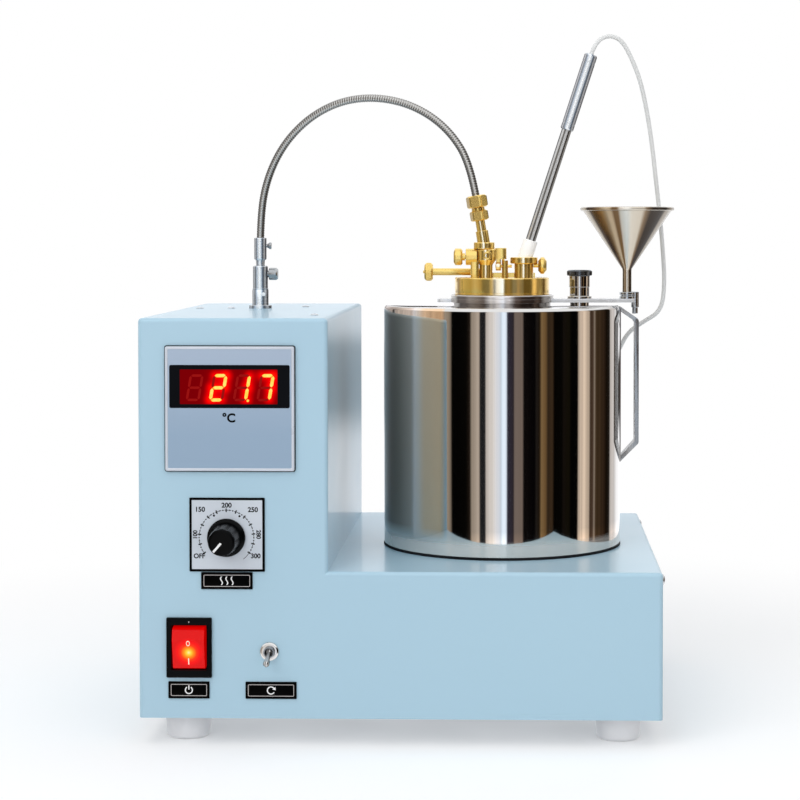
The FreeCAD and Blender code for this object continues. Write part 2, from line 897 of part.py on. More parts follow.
def make_feet():
    body = doc.addObject("PartDesign::Body", "foot")
    outline = [
        ("foot_recess_radius", "0"),
        ("foot_tip_radius - foot_edge", "0"),
        ("foot_tip_radius - foot_edge * 0.3", "foot_edge * 0.3"),
        ("foot_tip_radius", "foot_edge"),
        ("foot_radius", "foot_height"),
        ("screw_radius + screw_clearance", "foot_height"),
        ("screw_radius + screw_clearance", "foot_recess_depth"),
        ("foot_recess_radius", "foot_recess_depth"),
    ]
    sketch = drawn(body, outline, "XZ_Plane")
    feature = body.newObject("PartDesign::Revolution", "foot_turning")
    feature.Profile = (sketch, [""])
    feature.ReferenceAxis = (sketch, ["V_Axis"])
    feature.Angle = 360
    doc.recompute()
    holder = doc.addObject("Part::Feature", "feet")
    holder.Shape = Part.makeCompound(copied(body, FEET))
    return holder


def make_mains_inlet():
    # A fused inlet: a flange outside, a body inside and a well with three flat pins
    left = "inlet_x - inlet_width / 2"
    low = "inlet_z - inlet_height / 2"
    flange = block("inlet_flange_block", "inlet_width", "inlet_flange", "inlet_height",
                   (left, "panel_back", low))
    body = block("inlet_body", "inlet_width - 2 * inlet_border", "inlet_depth",
                 "inlet_height - 2 * inlet_border",
                 (f"{left} + inlet_border", "panel_back - inlet_depth", f"{low} + inlet_border"))
    well = block("inlet_well", "inlet_well_width", "inlet_well_depth + overrun", "inlet_well_height",
                 ("inlet_x - inlet_well_width / 2", "panel_back + inlet_flange - inlet_well_depth",
                  f"{low} + 2 * inlet_border"))
    shell = less("inlet_shell", joined("inlet_block", flange, body), well)
    middle = f"{low} + 2 * inlet_border + inlet_well_height / 2"
    pins = [
        block(f"inlet_pin_{index}", "pin_width", "pin_length + overrun", "pin_height",
              (f"inlet_x - pin_width / 2 + {step} * pin_spacing",
               "panel_back + inlet_flange - inlet_well_depth - overrun",
               f"{middle} - pin_height / 2 + {rise} * pin_height"))
        for index, (step, rise) in enumerate(((-1, -0.5), (0, 0.5), (1, -0.5)), start=1)
    ]
    return joined("mains_inlet", shell, *pins)


def make_lead_gland():
    outline = [
        ("0", "-gland_length"),
        ("gland_radius - gland_step", "-gland_length"),
        ("gland_radius - gland_step", "0"),
        ("gland_radius", "0"),
        ("gland_radius", "gland_length / 2"),
        ("lead_radius * 2", "gland_length"),
        ("0", "gland_length"),
    ]
    return lathed("lead_gland", outline, ("gland_x", "panel_back", "gland_z"), TO_BACK)


# Front panel


def make_indicator():
    bezel = block("bezel_block", "bezel_width", "bezel_proud", "bezel_height",
                  ("bezel_left", "-bezel_proud", "bezel_bottom"))
    opening = block("bezel_opening", "window_width", "bezel_proud + 2 * overrun", "window_height",
                    ("window_left", "-bezel_proud - overrun", "window_bottom"))
    doc.recompute()
    front = number("cabinet_front - bezel_proud")
    soft = rounded("bezel_soft", bezel, "bezel_corner / 2",
                   lambda edge: abs(edge.CenterOfMass.y - front) < 1e-3)
    less("indicator_bezel", soft, opening)
    left = "bezel_left + cutout_border"
    low = "bezel_bottom + cutout_border"
    wide = "bezel_width - 2 * cutout_border"
    high = "bezel_height - 2 * cutout_border"
    case = block("case_block", wide, "case_depth", high, (left, "0", low))
    room = block("case_room", f"{wide} - 2 * case_wall", "case_depth - case_wall + overrun",
                 f"{high} - 2 * case_wall", (f"{left} + case_wall", "-overrun", f"{low} + case_wall"))
    less("indicator_case", case, room)
    block("indicator_window", "window_width", "window_thickness", "window_height",
          ("window_left", "window_recess - bezel_proud", "window_bottom"))
    face = "window_recess + window_thickness + digit_setback - bezel_proud"
    digits = [
        block(f"digit_{index + 1}", "digit_width", "digit_depth", "digit_height",
              (f"digit_left + {index} * digit_pitch", face, "digit_bottom"))
        for index in range(4)
    ]
    board = block("display_board", f"{wide} - 2 * case_wall - plate_clearance", "board_thickness",
                  "digit_height + 2 * cutout_border",
                  (f"{left} + case_wall + plate_clearance / 2", f"{face} + digit_depth",
                   "digit_bottom - cutout_border"))
    return joined("indicator_digits", board, *digits)


def make_regulator():
    plate = block("dial_block", "dial_width", "dial_thickness", "dial_height",
                  ("dial_left", "-dial_thickness", "dial_bottom"))
    hole = cylinder("dial_hole", "bush_radius + thread_clearance", "dial_thickness + 2 * overrun",
                    ("knob_x", "overrun", "knob_z"), TO_FRONT)
    less("dial_plate", plate, hole)
    body = [
        ("spindle_radius + spindle_clearance", "-dial_thickness"),
        ("bush_radius", "-dial_thickness"),
        ("bush_radius", "sheet_gauge"),
        ("regulator_radius", "sheet_gauge"),
        ("regulator_radius", "sheet_gauge + regulator_depth"),
        ("spindle_radius + spindle_clearance", "sheet_gauge + regulator_depth"),
    ]
    lathed("regulator_body", body, ("knob_x", "0", "knob_z"), TO_BACK)
    cylinder("regulator_spindle", "spindle_radius",
             "regulator_depth + sheet_gauge + dial_thickness + knob_gap + spindle_in_knob",
             ("knob_x", "sheet_gauge + regulator_depth", "knob_z"), TO_FRONT)
    outline = [
        ("spindle_radius", "0"),
        ("skirt_radius", "0"),
        ("skirt_radius", "skirt_height - knob_edge"),
        ("skirt_radius - knob_edge", "skirt_height"),
        ("knob_base_radius", "skirt_height"),
        ("knob_top_radius", "knob_height - knob_edge"),
        ("knob_top_radius - knob_edge", "knob_height"),
        ("0", "knob_height"),
        ("0", "spindle_in_knob"),
        ("spindle_radius", "spindle_in_knob"),
    ]
    seat = "-(dial_thickness + knob_gap)"
    knob = lathed("knob_body", outline, ("knob_x", seat, "knob_z"), TO_FRONT)
    reach = "(knob_base_radius - flute_cut + flute_radius)"
    count = round(number("knob_flutes"))
    flutes = []
    for index in range(count):
        turn = f"{index} * 360 / knob_flutes"
        flutes.append(cylinder(
            f"knob_flute_{index + 1}", "flute_radius", "knob_height",
            (f"knob_x + {reach} * cos({turn})", f"{seat} - skirt_height - knob_edge",
             f"knob_z + {reach} * sin({turn})"), TO_FRONT))
    return less("heater_knob", knob, *flutes)


def make_labels():
    labels = [
        ("heater", "heater_label_left", "heater_label_width", "heater_label_bottom"),
        ("mains", "mains_label_left", "mains_label_width", "lower_label_bottom"),
        ("motor", "motor_label_left", "motor_label_width", "lower_label_bottom"),
    ]
    plates = [
        block(f"{word}_label", width, "label_thickness", "label_height", (left, "-label_thickness", low))
        for word, left, width, low in labels
    ]
    return group("label_plates", plates)


ROCKER_X = "rocker_frame_left + rocker_frame_width / 2"
ROCKER_Z = "rocker_frame_bottom + rocker_frame_height / 2"
ROCKER_ROOM = "(rocker_frame_width - 2 * rocker_border)"


def make_mains_switch():
    frame = block("switch_flange", "rocker_frame_width", "rocker_frame_proud", "rocker_frame_height",
                  ("rocker_frame_left", "-rocker_frame_proud", "rocker_frame_bottom"))
    body = block("switch_body", "rocker_frame_width - 2 * rocker_frame_wall", "rocker_body_depth",
                 "rocker_frame_height - 2 * rocker_frame_wall",
                 ("rocker_frame_left + rocker_frame_wall", "0", "rocker_frame_bottom + rocker_frame_wall"))
    swing = "(rocker_swing_radius + rocker_end_gap)"
    side = f"{ROCKER_X} - {ROCKER_ROOM} / 2"
    room = block("switch_room", ROCKER_ROOM, f"rocker_frame_proud + rocker_depth + {swing} + overrun",
                 f"2 * {swing}",
                 (side, "-rocker_frame_proud - overrun", f"{ROCKER_Z} - {swing}"))
    pins = cylinder("switch_pin_holes", "rocker_pin_radius + rocker_pin_gap",
                    f"{ROCKER_ROOM} + 2 * rocker_wall + 2 * rocker_pin_gap",
                    (f"{side} - rocker_wall - rocker_pin_gap", "rocker_depth", ROCKER_Z),
                    TO_RIGHT)
    less("mains_switch_frame", joined("switch_block", frame, body), room, pins)

    width = f"({ROCKER_ROOM} - 2 * rocker_side_gap)"
    drum = cylinder("rocker_drum", "rocker_swing_radius", width,
                    (f"{ROCKER_X} - {width} / 2", "rocker_depth", ROCKER_Z), TO_RIGHT)
    slab = tilted_block("rocker_slab", width, "rocker_face + rocker_back", "2 * rocker_swing_radius",
                        "-rocker_face")
    hollow = tilted_block("rocker_hollow", f"({width} - 2 * rocker_wall)",
                          "rocker_face - rocker_wall + rocker_back + overrun",
                          "2 * (rocker_swing_radius - 2 * rocker_wall)", "rocker_wall - rocker_face")
    wedge = less("rocker_wedge", shared("rocker_solid", drum, slab), hollow)
    stubs = cylinder("rocker_pins", "rocker_pin_radius", f"{ROCKER_ROOM} + 2 * rocker_wall",
                     (f"{ROCKER_X} - {ROCKER_ROOM} / 2 - rocker_wall", "rocker_depth", ROCKER_Z), TO_RIGHT)
    return joined("mains_rocker", wedge, stubs)


def tilted_block(name, width, depth, height, start):
    # A block about the rocker's pivot, leaning out at its top
    y = f"rocker_depth + ({start}) * cos(rocker_tilt) + ({height}) / 2 * sin(rocker_tilt)"
    z = f"{ROCKER_Z} + ({start}) * sin(rocker_tilt) - ({height}) / 2 * cos(rocker_tilt)"
    return block(name, width, depth, height, (f"{ROCKER_X} - {width} / 2", y, z),
                 ((1, 0, 0), "rocker_tilt"))


def make_motor_switch():
    tube = [
        ("bushing_bore", "-toggle_room"),
        ("bushing_radius", "-toggle_room"),
        ("bushing_radius", "bushing_proud"),
        ("bushing_bore", "bushing_proud"),
    ]
    bushing = lathed("toggle_bushing", tube, ("toggle_x", "0", "toggle_z"), TO_FRONT)
    case = block("toggle_case", "toggle_case_width", "toggle_case_depth", "toggle_case_height",
                 ("toggle_x - toggle_case_width / 2", "sheet_gauge", "toggle_z - toggle_case_height / 2"))
    bore = cylinder("toggle_bore", "bushing_bore", "toggle_room + overrun",
                    ("toggle_x", "toggle_room", "toggle_z"), TO_FRONT)
    joined("motor_switch_body", bushing, less("toggle_case_bored", case, bore))
    nut = [
        ("bushing_radius", "0"),
        ("nut_radius", "0"),
        ("nut_radius", "nut_height - nut_edge"),
        ("nut_radius - nut_edge", "nut_height"),
        ("bushing_radius", "nut_height"),
    ]
    lathed("motor_switch_nut", nut, ("toggle_x", "0", "toggle_z"), TO_FRONT)
    pivot = ("toggle_x", "-lever_pivot", "toggle_z")
    down = ((1, 0, 0), "90 + lever_tilt")
    rod = cone("lever_rod", "lever_root_radius", "lever_tip_radius",
               "lever_length - lever_tip_radius", pivot, down)
    tip = ball("lever_tip", "lever_tip_radius",
               ("toggle_x", "-lever_pivot - (lever_length - lever_tip_radius) * cos(lever_tilt)",
                "toggle_z - (lever_length - lever_tip_radius) * sin(lever_tilt)"))
    return joined("motor_switch_lever", ball("lever_ball_joint", "lever_ball", pivot), rod, tip)


# Motor, drive sleeve and flexible shaft


def make_motor():
    top = "(tower_top - sheet_gauge - motor_drop)"
    outline = [
        ("motor_shaft_radius + shaft_clearance", f"{top} - motor_length"),
        ("motor_radius", f"{top} - motor_length"),
        ("motor_radius", top),
        ("motor_boss_radius", top),
        ("motor_boss_radius", f"{top} + motor_boss_height"),
        ("motor_shaft_radius + shaft_clearance", f"{top} + motor_boss_height"),
    ]
    lathed("motor_body", outline, ("drive_x", "drive_y", "0"))
    cylinder("motor_shaft", "motor_shaft_radius", "motor_length + motor_shaft_rise",
             ("drive_x", "drive_y", f"{top} - motor_length"))
    right = "bracket_left + bracket_width - bracket_gauge"
    wall = "motor_drop"
    pieces = [
        block("bracket_shelf", "bracket_width", "bracket_depth", "bracket_gauge",
              ("bracket_left", "bracket_front", top)),
        block("bracket_left_wall", "bracket_gauge", "bracket_depth", wall,
              ("bracket_left", "bracket_front", top)),
        block("bracket_right_wall", "bracket_gauge", "bracket_depth", wall,
              (right, "bracket_front", top)),
        block("bracket_left_lip", "bracket_lip", "bracket_depth", "bracket_gauge",
              ("bracket_left", "bracket_front", f"{top} + {wall} - bracket_gauge")),
        block("bracket_right_lip", "bracket_lip", "bracket_depth", "bracket_gauge",
              ("bracket_left + bracket_width - bracket_lip", "bracket_front",
               f"{top} + {wall} - bracket_gauge")),
    ]
    holes = [cylinder("bracket_boss_hole", "motor_boss_radius + case_clearance",
                      "bracket_gauge + 2 * overrun", ("drive_x", "drive_y", f"{top} - overrun"))]
    under = "tower_top - sheet_gauge - bracket_gauge - overrun"
    holes += screw_holes("bracket_hole", [(x, y, under) for x, y in TOP_SCREWS[:2]],
                         "bracket_gauge + 2 * overrun", None)
    return less("motor_bracket", joined("bracket_sheet", *pieces), *holes)


def make_drive():
    spot = ("drive_x", "drive_y", "0")
    sleeve = [
        ("drive_bore", "tower_top - drive_spigot"),
        ("drive_body_radius", "tower_top - drive_spigot"),
        ("drive_body_radius", "tower_top"),
        ("drive_flange_radius", "tower_top"),
        ("drive_flange_radius", "tower_top + drive_flange_height"),
        ("drive_body_radius", "tower_top + drive_flange_height"),
        ("drive_body_radius", "drive_body_top - drive_step"),
        ("drive_sleeve_radius", "drive_body_top"),
        ("drive_sleeve_radius", "drive_sleeve_top"),
        ("drive_bore", "drive_sleeve_top"),
    ]
    hole = cylinder("sleeve_screw_hole", "big_screw_shank + thread_clearance",
                    "drive_body_radius + overrun", ("drive_x", "drive_y", "big_screw_z"), TO_RIGHT)
    less("drive_sleeve", lathed("sleeve_body", sleeve, spot), hole)
    ferrule = [
        ("ferrule_bore", "drive_sleeve_top - ferrule_tail"),
        ("drive_bore - thread_clearance", "drive_sleeve_top - ferrule_tail"),
        ("drive_bore - thread_clearance", "drive_sleeve_top"),
        ("ferrule_neck_radius", "drive_sleeve_top"),
        ("ferrule_neck_radius", "ferrule_bottom"),
        ("ferrule_radius", "ferrule_bottom"),
        ("ferrule_radius", "ferrule_top"),
        ("casing_radius + casing_clearance", "ferrule_top"),
        ("casing_radius + casing_clearance", "casing_seat"),
        ("ferrule_bore", "casing_seat"),
    ]
    hole = cylinder("ferrule_screw_hole", "small_screw_shank + thread_clearance",
                    "ferrule_radius + overrun", ("drive_x", "drive_y", "small_screw_z"), TO_RIGHT)
    less("shaft_ferrule", lathed("ferrule_body", ferrule, spot), hole)
    for word, seat in (("big", "drive_bore"), ("small", "casing_radius + 2 * casing_clearance")):
        start = f"{word}_screw_start"
        end = f"{word}_screw_end"
        head = f"{word}_screw_head"
        outline = [
            ("0", seat),
            (f"{word}_screw_shank", seat),
            (f"{word}_screw_shank", start),
            (f"{head} - thumb_edge", start),
            (head, f"{start} + thumb_edge"),
            (head, f"{end} - thumb_edge"),
            (f"{head} - thumb_edge", end),
            ("0", end),
        ]
        name = {"big": "sleeve_screw", "small": "ferrule_screw"}[word]
        lathed(name, outline, ("drive_x", "drive_y", f"{word}_screw_z"), TO_RIGHT)


# The flexible shaft's route, from the ferrule's seat to the stirrer's upper nut
SHAFT_ROUTE = [
    (47.9, 150.0, 289.9),
    (52.5, 147.0, 313.3),
    (63.4, 142.4, 334.2),
    (80.2, 136.4, 350.4),
    (101.2, 129.8, 360.0),
    (124.4, 123.2, 361.1),
    (146.7, 117.1, 354.6),
    (165.6, 111.5, 340.6),
]

# The probe lead's route, from the probe's handle over the funnel's side and round behind the bath
LEAD_ROUTE = [
    (251.7, 111.9, 392.0),
    (258.8, 112.3, 396.9),
    (267.2, 114.0, 394.6),
    (273.2, 116.6, 384.5),
    (278.9, 120.2, 371.0),
    (283.2, 124.2, 353.0),
    (286.6, 128.4, 333.0),
    (289.2, 132.6, 312.0),
    (291.9, 136.6, 291.0),
    (294.0, 139.6, 270.0),
    (295.4, 141.4, 249.0),
    (293.5, 143.4, 232.3),
    (282.6, 147.4, 225.5),
    (273.9, 154.0, 219.0),
    (268.4, 161.5, 207.5),
    (261.8, 170.0, 190.0),
    (252.8, 179.0, 169.5),
    (243.2, 188.0, 147.5),
    (234.6, 197.0, 125.0),
    (228.6, 206.5, 107.5),
    (225.3, 217.0, 98.0),
    (223.3, 229.5, 98.4),
    (221.8, 242.5, 99.6),
    (221.0, 253.5, 94.5),
    (221.0, 260.5, 82.5),
    (221.0, 263.0, 71.0),
    (221.0, 261.5, 60.6),
    (221.0, 255.7, 54.0),
]


def route_path(points):
    # Straight runs joined by tangent arcs, each as wide as its two runs allow
    edges = []
    radii = []
    start = points[0]
    for before, corner, after in zip(points, points[1:], points[2:]):
        back = before - corner
        ahead = after - corner
        half = (math.pi - back.getAngle(ahead)) / 2
        reach = RUN_SHARE * min(back.Length, ahead.Length)
        radii.append(reach / math.tan(half))
        back.normalize()
        ahead.normalize()
        entry = corner + back * reach
        leave = corner + ahead * reach
        inward = back + ahead
        inward.normalize()
        bottom = corner + inward * (radii[-1] / math.cos(half) - radii[-1])
        edges.append(Part.LineSegment(start, entry).toShape())
        edges.append(Part.Arc(entry, bottom, leave).toShape())
        start = leave
    edges.append(Part.LineSegment(start, points[-1]).toShape())
    return Part.Wire(edges), radii


RUN_SHARE = 0.45


def tube(path, radius):
    start = path.Edges[0]
    point = start.valueAt(start.FirstParameter)
    direction = start.tangentAt(start.FirstParameter)
    ring = Part.Wire(Part.makeCircle(radius, point, direction))
    solid = path.makePipeShell([ring], True, False)
    expected = math.pi * radius ** 2 * path.Length
    print(f"tube {radius:.2f} long {path.Length:.1f} volume ratio {solid.Volume / expected:.4f}")
    return solid


def route_points(points):
    return [
        Vector(number(f"cabinet_left + {x}"), number(f"cabinet_front + {y}"), z)
        for x, y, z in points
    ]


def make_flexible_shaft():
    seat = spot_of(("drive_x", "drive_y", "casing_seat"))
    over = spot_of(along("casing_end + casing_last_run"))
    end = spot_of(along("casing_end"))
    points = [seat] + route_points(SHAFT_ROUTE) + [over, end]
    path, radii = route_path(points)
    print("flexible shaft radii", [round(radius, 1) for radius in radii])
    bore = tube(path, number("casing_bore"))
    casing = doc.addObject("Part::Feature", "flexible_casing")
    casing.Shape = tube(path, number("casing_radius")).cut(bore)
    points[0] = spot_of(("drive_x", "drive_y", f"{MOTOR_TIP} + core_gap"))
    inner, _ = route_path(points)
    core = doc.addObject("Part::Feature", "flexible_core")
    core.Shape = tube(inner, number("core_radius"))
    return casing


MOTOR_TIP = "(tower_top - sheet_gauge - motor_drop + motor_shaft_rise)"


# Water bath


def make_bath():
    spot = ("bath_x", "bath_y", "0")
    seat = "(base_top + gasket_height)"
    gasket = [
        ("bath_radius - gasket_width", "base_top"),
        ("bath_radius + gasket_lip", "base_top"),
        ("bath_radius + gasket_lip", seat),
        ("bath_radius - gasket_width", seat),
    ]
    lathed("bath_gasket", gasket, spot)
    top = "bath_top"
    shell = [
        ("bath_radius - bath_wall", seat),
        ("bath_radius", seat),
        ("bath_radius", top),
        ("neck_radius", top),
        ("neck_radius", f"{top} - bath_wall"),
        ("bath_radius - bath_edge", f"{top} - bath_wall"),
        ("bath_radius - bath_wall", f"{top} - bath_edge"),
    ]
    body = lathed("bath_turning", shell, spot)
    doc.recompute()
    rim = number(top)
    wide = number("bath_radius")

    def outer_rim(edge):
        curve = edge.Curve
        return isinstance(curve, Part.Circle) and abs(curve.Radius - wide) < 1e-3 \
            and abs(curve.Center.z - rim) < 1e-3

    soft = rounded("bath_soft", body, "bath_edge", outer_rim)
    hole = cylinder("bath_port_hole", "port_radius", "bath_wall + 2 * overrun",
                    ("port_x", "bath_y", f"{top} - bath_wall - overrun"))
    less("bath_shell", soft, hole)

    level = f"({seat} + bath_floor_rise)"
    disc = cylinder("bath_disc", "bath_radius - bath_wall", "bath_floor_gauge", ("bath_x", "bath_y", level))
    studs = [
        cylinder(f"bath_stud_{index}", "stud_radius", f"{level} - base_top + stud_drop",
                 stud_spot(turn, "base_top - stud_drop"))
        for index, turn in enumerate(STUD_TURNS, start=1)
    ]
    holes = [
        cylinder(f"bath_leg_hole_{index}", "heater_leg_radius", "bath_floor_gauge + 2 * overrun",
                 leg_spot(side, f"{level} - overrun"))
        for index, side in enumerate(("-", "+"), start=1)
    ]
    less("bath_bottom", joined("bath_floor", disc, *studs), *holes)

    radii = {"Radius1": "heater_ring_radius", "Radius2": "heater_tube_radius"}
    ring = sized("Part::Torus", "heater_ring", radii, ("bath_x", "bath_y", "heater_z"), None)
    legs = [
        cylinder(f"heater_leg_{index}", "heater_leg_radius", "heater_z - base_top + heater_leg_drop",
                 leg_spot(side, "base_top - heater_leg_drop"))
        for index, side in enumerate(("-", "+"), start=1)
    ]
    joined("heater_element", ring, *legs)

    chamber = [
        ("0", "air_floor"),
        ("air_radius", "air_floor"),
        ("air_radius", f"{top} - bath_wall"),
        ("air_radius - air_gauge", f"{top} - bath_wall"),
        ("air_radius - air_gauge", "air_floor + air_gauge"),
        ("0", "air_floor + air_gauge"),
    ]
    lathed("air_chamber", chamber, spot)
    ledge = "(cup_rim_z - cup_flange_height)"
    neck = [
        ("neck_bore", f"{top} - neck_spigot"),
        ("neck_radius", f"{top} - neck_spigot"),
        ("neck_radius", "neck_flange_bottom"),
        ("neck_flange_radius - neck_flange_edge / 2", "neck_flange_bottom"),
        ("neck_flange_radius", "neck_flange_bottom + neck_flange_edge"),
        ("neck_flange_radius", "cup_rim_z - neck_flange_edge"),
        ("neck_flange_radius - neck_flange_edge", "cup_rim_z"),
        ("cup_flange_radius + cup_clearance", "cup_rim_z"),
        ("cup_flange_radius + cup_clearance", ledge),
        ("neck_bore", ledge),
    ]
    lathed("neck_ring", neck, spot)


def make_oil_cup():
    ledge = "(cup_rim_z - cup_flange_height)"
    outline = [
        ("0", "cup_rim_z - cup_depth - cup_wall"),
        ("cup_bore + cup_wall", "cup_rim_z - cup_depth - cup_wall"),
        ("cup_bore + cup_wall", ledge),
        ("cup_flange_radius", ledge),
        ("cup_flange_radius", "cup_rim_z"),
        ("cup_bore", "cup_rim_z"),
        ("cup_bore", "cup_rim_z - cup_depth"),
        ("0", "cup_rim_z - cup_depth"),
    ]
    cup = lathed("cup_turning", outline, ("bath_x", "bath_y", "0"))
    level = "cup_rim_z - cup_gauge_drop - cup_gauge_radius"
    bar = cylinder("cup_gauge_bar", "cup_gauge_radius", "cup_gauge_length + cup_wall / 2",
                   ("bath_x", "bath_y - cup_bore - cup_wall / 2", level), TO_BACK)
    tip = cone("cup_gauge_tip", "cup_gauge_radius", "0", "cup_gauge_radius * 3",
               ("bath_x", "bath_y - cup_bore + cup_gauge_length - cup_gauge_radius", level))
    return joined("oil_cup", cup, bar, tip)


def make_bath_top_fittings():
    low = "bracket_plate_z"
    ring = cylinder("plate_ring", "neck_flange_radius", "bracket_plate_gauge", ("bath_x", "bath_y", low))
    tab = block("plate_tab", "neck_radius + bracket_plate_tab", "bracket_plate_tip * 2",
                "bracket_plate_gauge",
                ("bath_x - neck_radius - bracket_plate_tab", "bath_y - bracket_plate_tip", low))
    arm = padded("plate_arm", [
        ("0", "-bracket_plate_root"),
        ("funnel_x - bath_x + holder_radius", "-bracket_plate_tip"),
        ("funnel_x - bath_x + holder_radius", "bracket_plate_tip"),
        ("0", "bracket_plate_root"),
    ], "bracket_plate_gauge", ("bath_x", "bath_y", low))
    socket = cylinder("holder_cylinder", "holder_radius", f"holder_top - {low}",
                      ("funnel_x", "bath_y", low))
    stud = cylinder("holder_stud", "holder_stud_radius", "holder_stud_drop",
                    ("funnel_x + holder_stud_offset", "bath_y", f"{low} - holder_stud_drop"))
    neck = cylinder("plate_neck_hole", "neck_radius", "bracket_plate_gauge + 2 * overrun",
                    ("bath_x", "bath_y", f"{low} - overrun"))
    port = cylinder("plate_port_hole", "port_radius", "bracket_plate_gauge + 2 * overrun",
                    ("port_x", "bath_y", f"{low} - overrun"))
    stem = cylinder("holder_bore", "funnel_stem_radius + funnel_clearance", f"holder_top - {low}",
                    ("funnel_x", "bath_y", f"{low} + bracket_plate_gauge"))
    less("bracket_plate", joined("plate_whole", ring, tab, arm, socket, stud), neck, port, stem)

    spot = ("port_x", "bath_y", "0")
    pipe = [
        ("port_bore", "bath_top - port_tail"),
        ("port_radius", "bath_top - port_tail"),
        ("port_radius", "port_top"),
        ("port_bore", "port_top"),
    ]
    lathed("filler_port", pipe, spot)
    cap = [
        ("0", "port_top - cap_skirt"),
        ("port_bore - cap_gap", "port_top - cap_skirt"),
        ("port_bore - cap_gap", "port_top + cap_seat"),
        ("cap_radius", "port_top + cap_seat"),
        ("cap_radius", "port_top + cap_height - cap_edge"),
        ("cap_radius - cap_edge", "port_top + cap_height"),
        ("0", "port_top + cap_height"),
    ]
    lathed("filler_cap", cap, spot)


def make_funnel():
    foot = "(bracket_plate_z + bracket_plate_gauge + funnel_clearance)"
    slope = "funnel_rim_z - funnel_bead"
    outline = [
        ("funnel_stem_radius - funnel_stem_wall", foot),
        ("funnel_stem_radius", foot),
        ("funnel_stem_radius", "funnel_tip_z"),
        ("funnel_rim_radius", slope),
        ("funnel_rim_radius + funnel_bead / 2", f"{slope} + funnel_bead / 2"),
        ("funnel_rim_radius", "funnel_rim_z"),
        ("funnel_rim_radius - funnel_wall", "funnel_rim_z"),
        ("funnel_stem_radius - funnel_stem_wall", "funnel_tip_z + funnel_wall"),
    ]
    return lathed("funnel", outline, ("funnel_x", "bath_y", "0"))


def make_handle():
    # A strap bent to three sides, on a foot that lies against the bath's wall
    foot_x = "(bath_x + bath_radius + handle_foot_gauge)"
    out = "handle_reach"
    inner = f"{out} - handle_gauge"
    outline = [
        (foot_x, "handle_top"),
        (out, "handle_shoulder_top"),
        (out, "handle_shoulder_bottom"),
        (foot_x, "handle_bottom"),
        (foot_x, "handle_bottom + handle_gauge * 1.3"),
        (inner, "handle_shoulder_bottom + handle_gauge / 2"),
        (inner, "handle_shoulder_top - handle_gauge / 2"),
        (foot_x, "handle_top - handle_gauge * 1.3"),
    ]
    strap = padded("strap", outline, "handle_width", ("0", "bath_y + handle_width / 2", "0"), "XZ_Plane")
    plate = block("strap_foot", "2 * handle_foot_gauge", "handle_width", "handle_top - handle_bottom",
                  (f"{foot_x} - 2 * handle_foot_gauge", "bath_y - handle_width / 2", "handle_bottom"))
    vessel = cylinder("strap_vessel", "bath_radius", "bath_height + overrun",
                      ("bath_x", "bath_y", "base_top"))
    return less("bath_handle", joined("strap_whole", strap, plate), vessel)


# Cover and its fittings


def port_x(index, shift="0"):
    return f"middle_port_x + {index - 1} * port_pitch + {shift}"


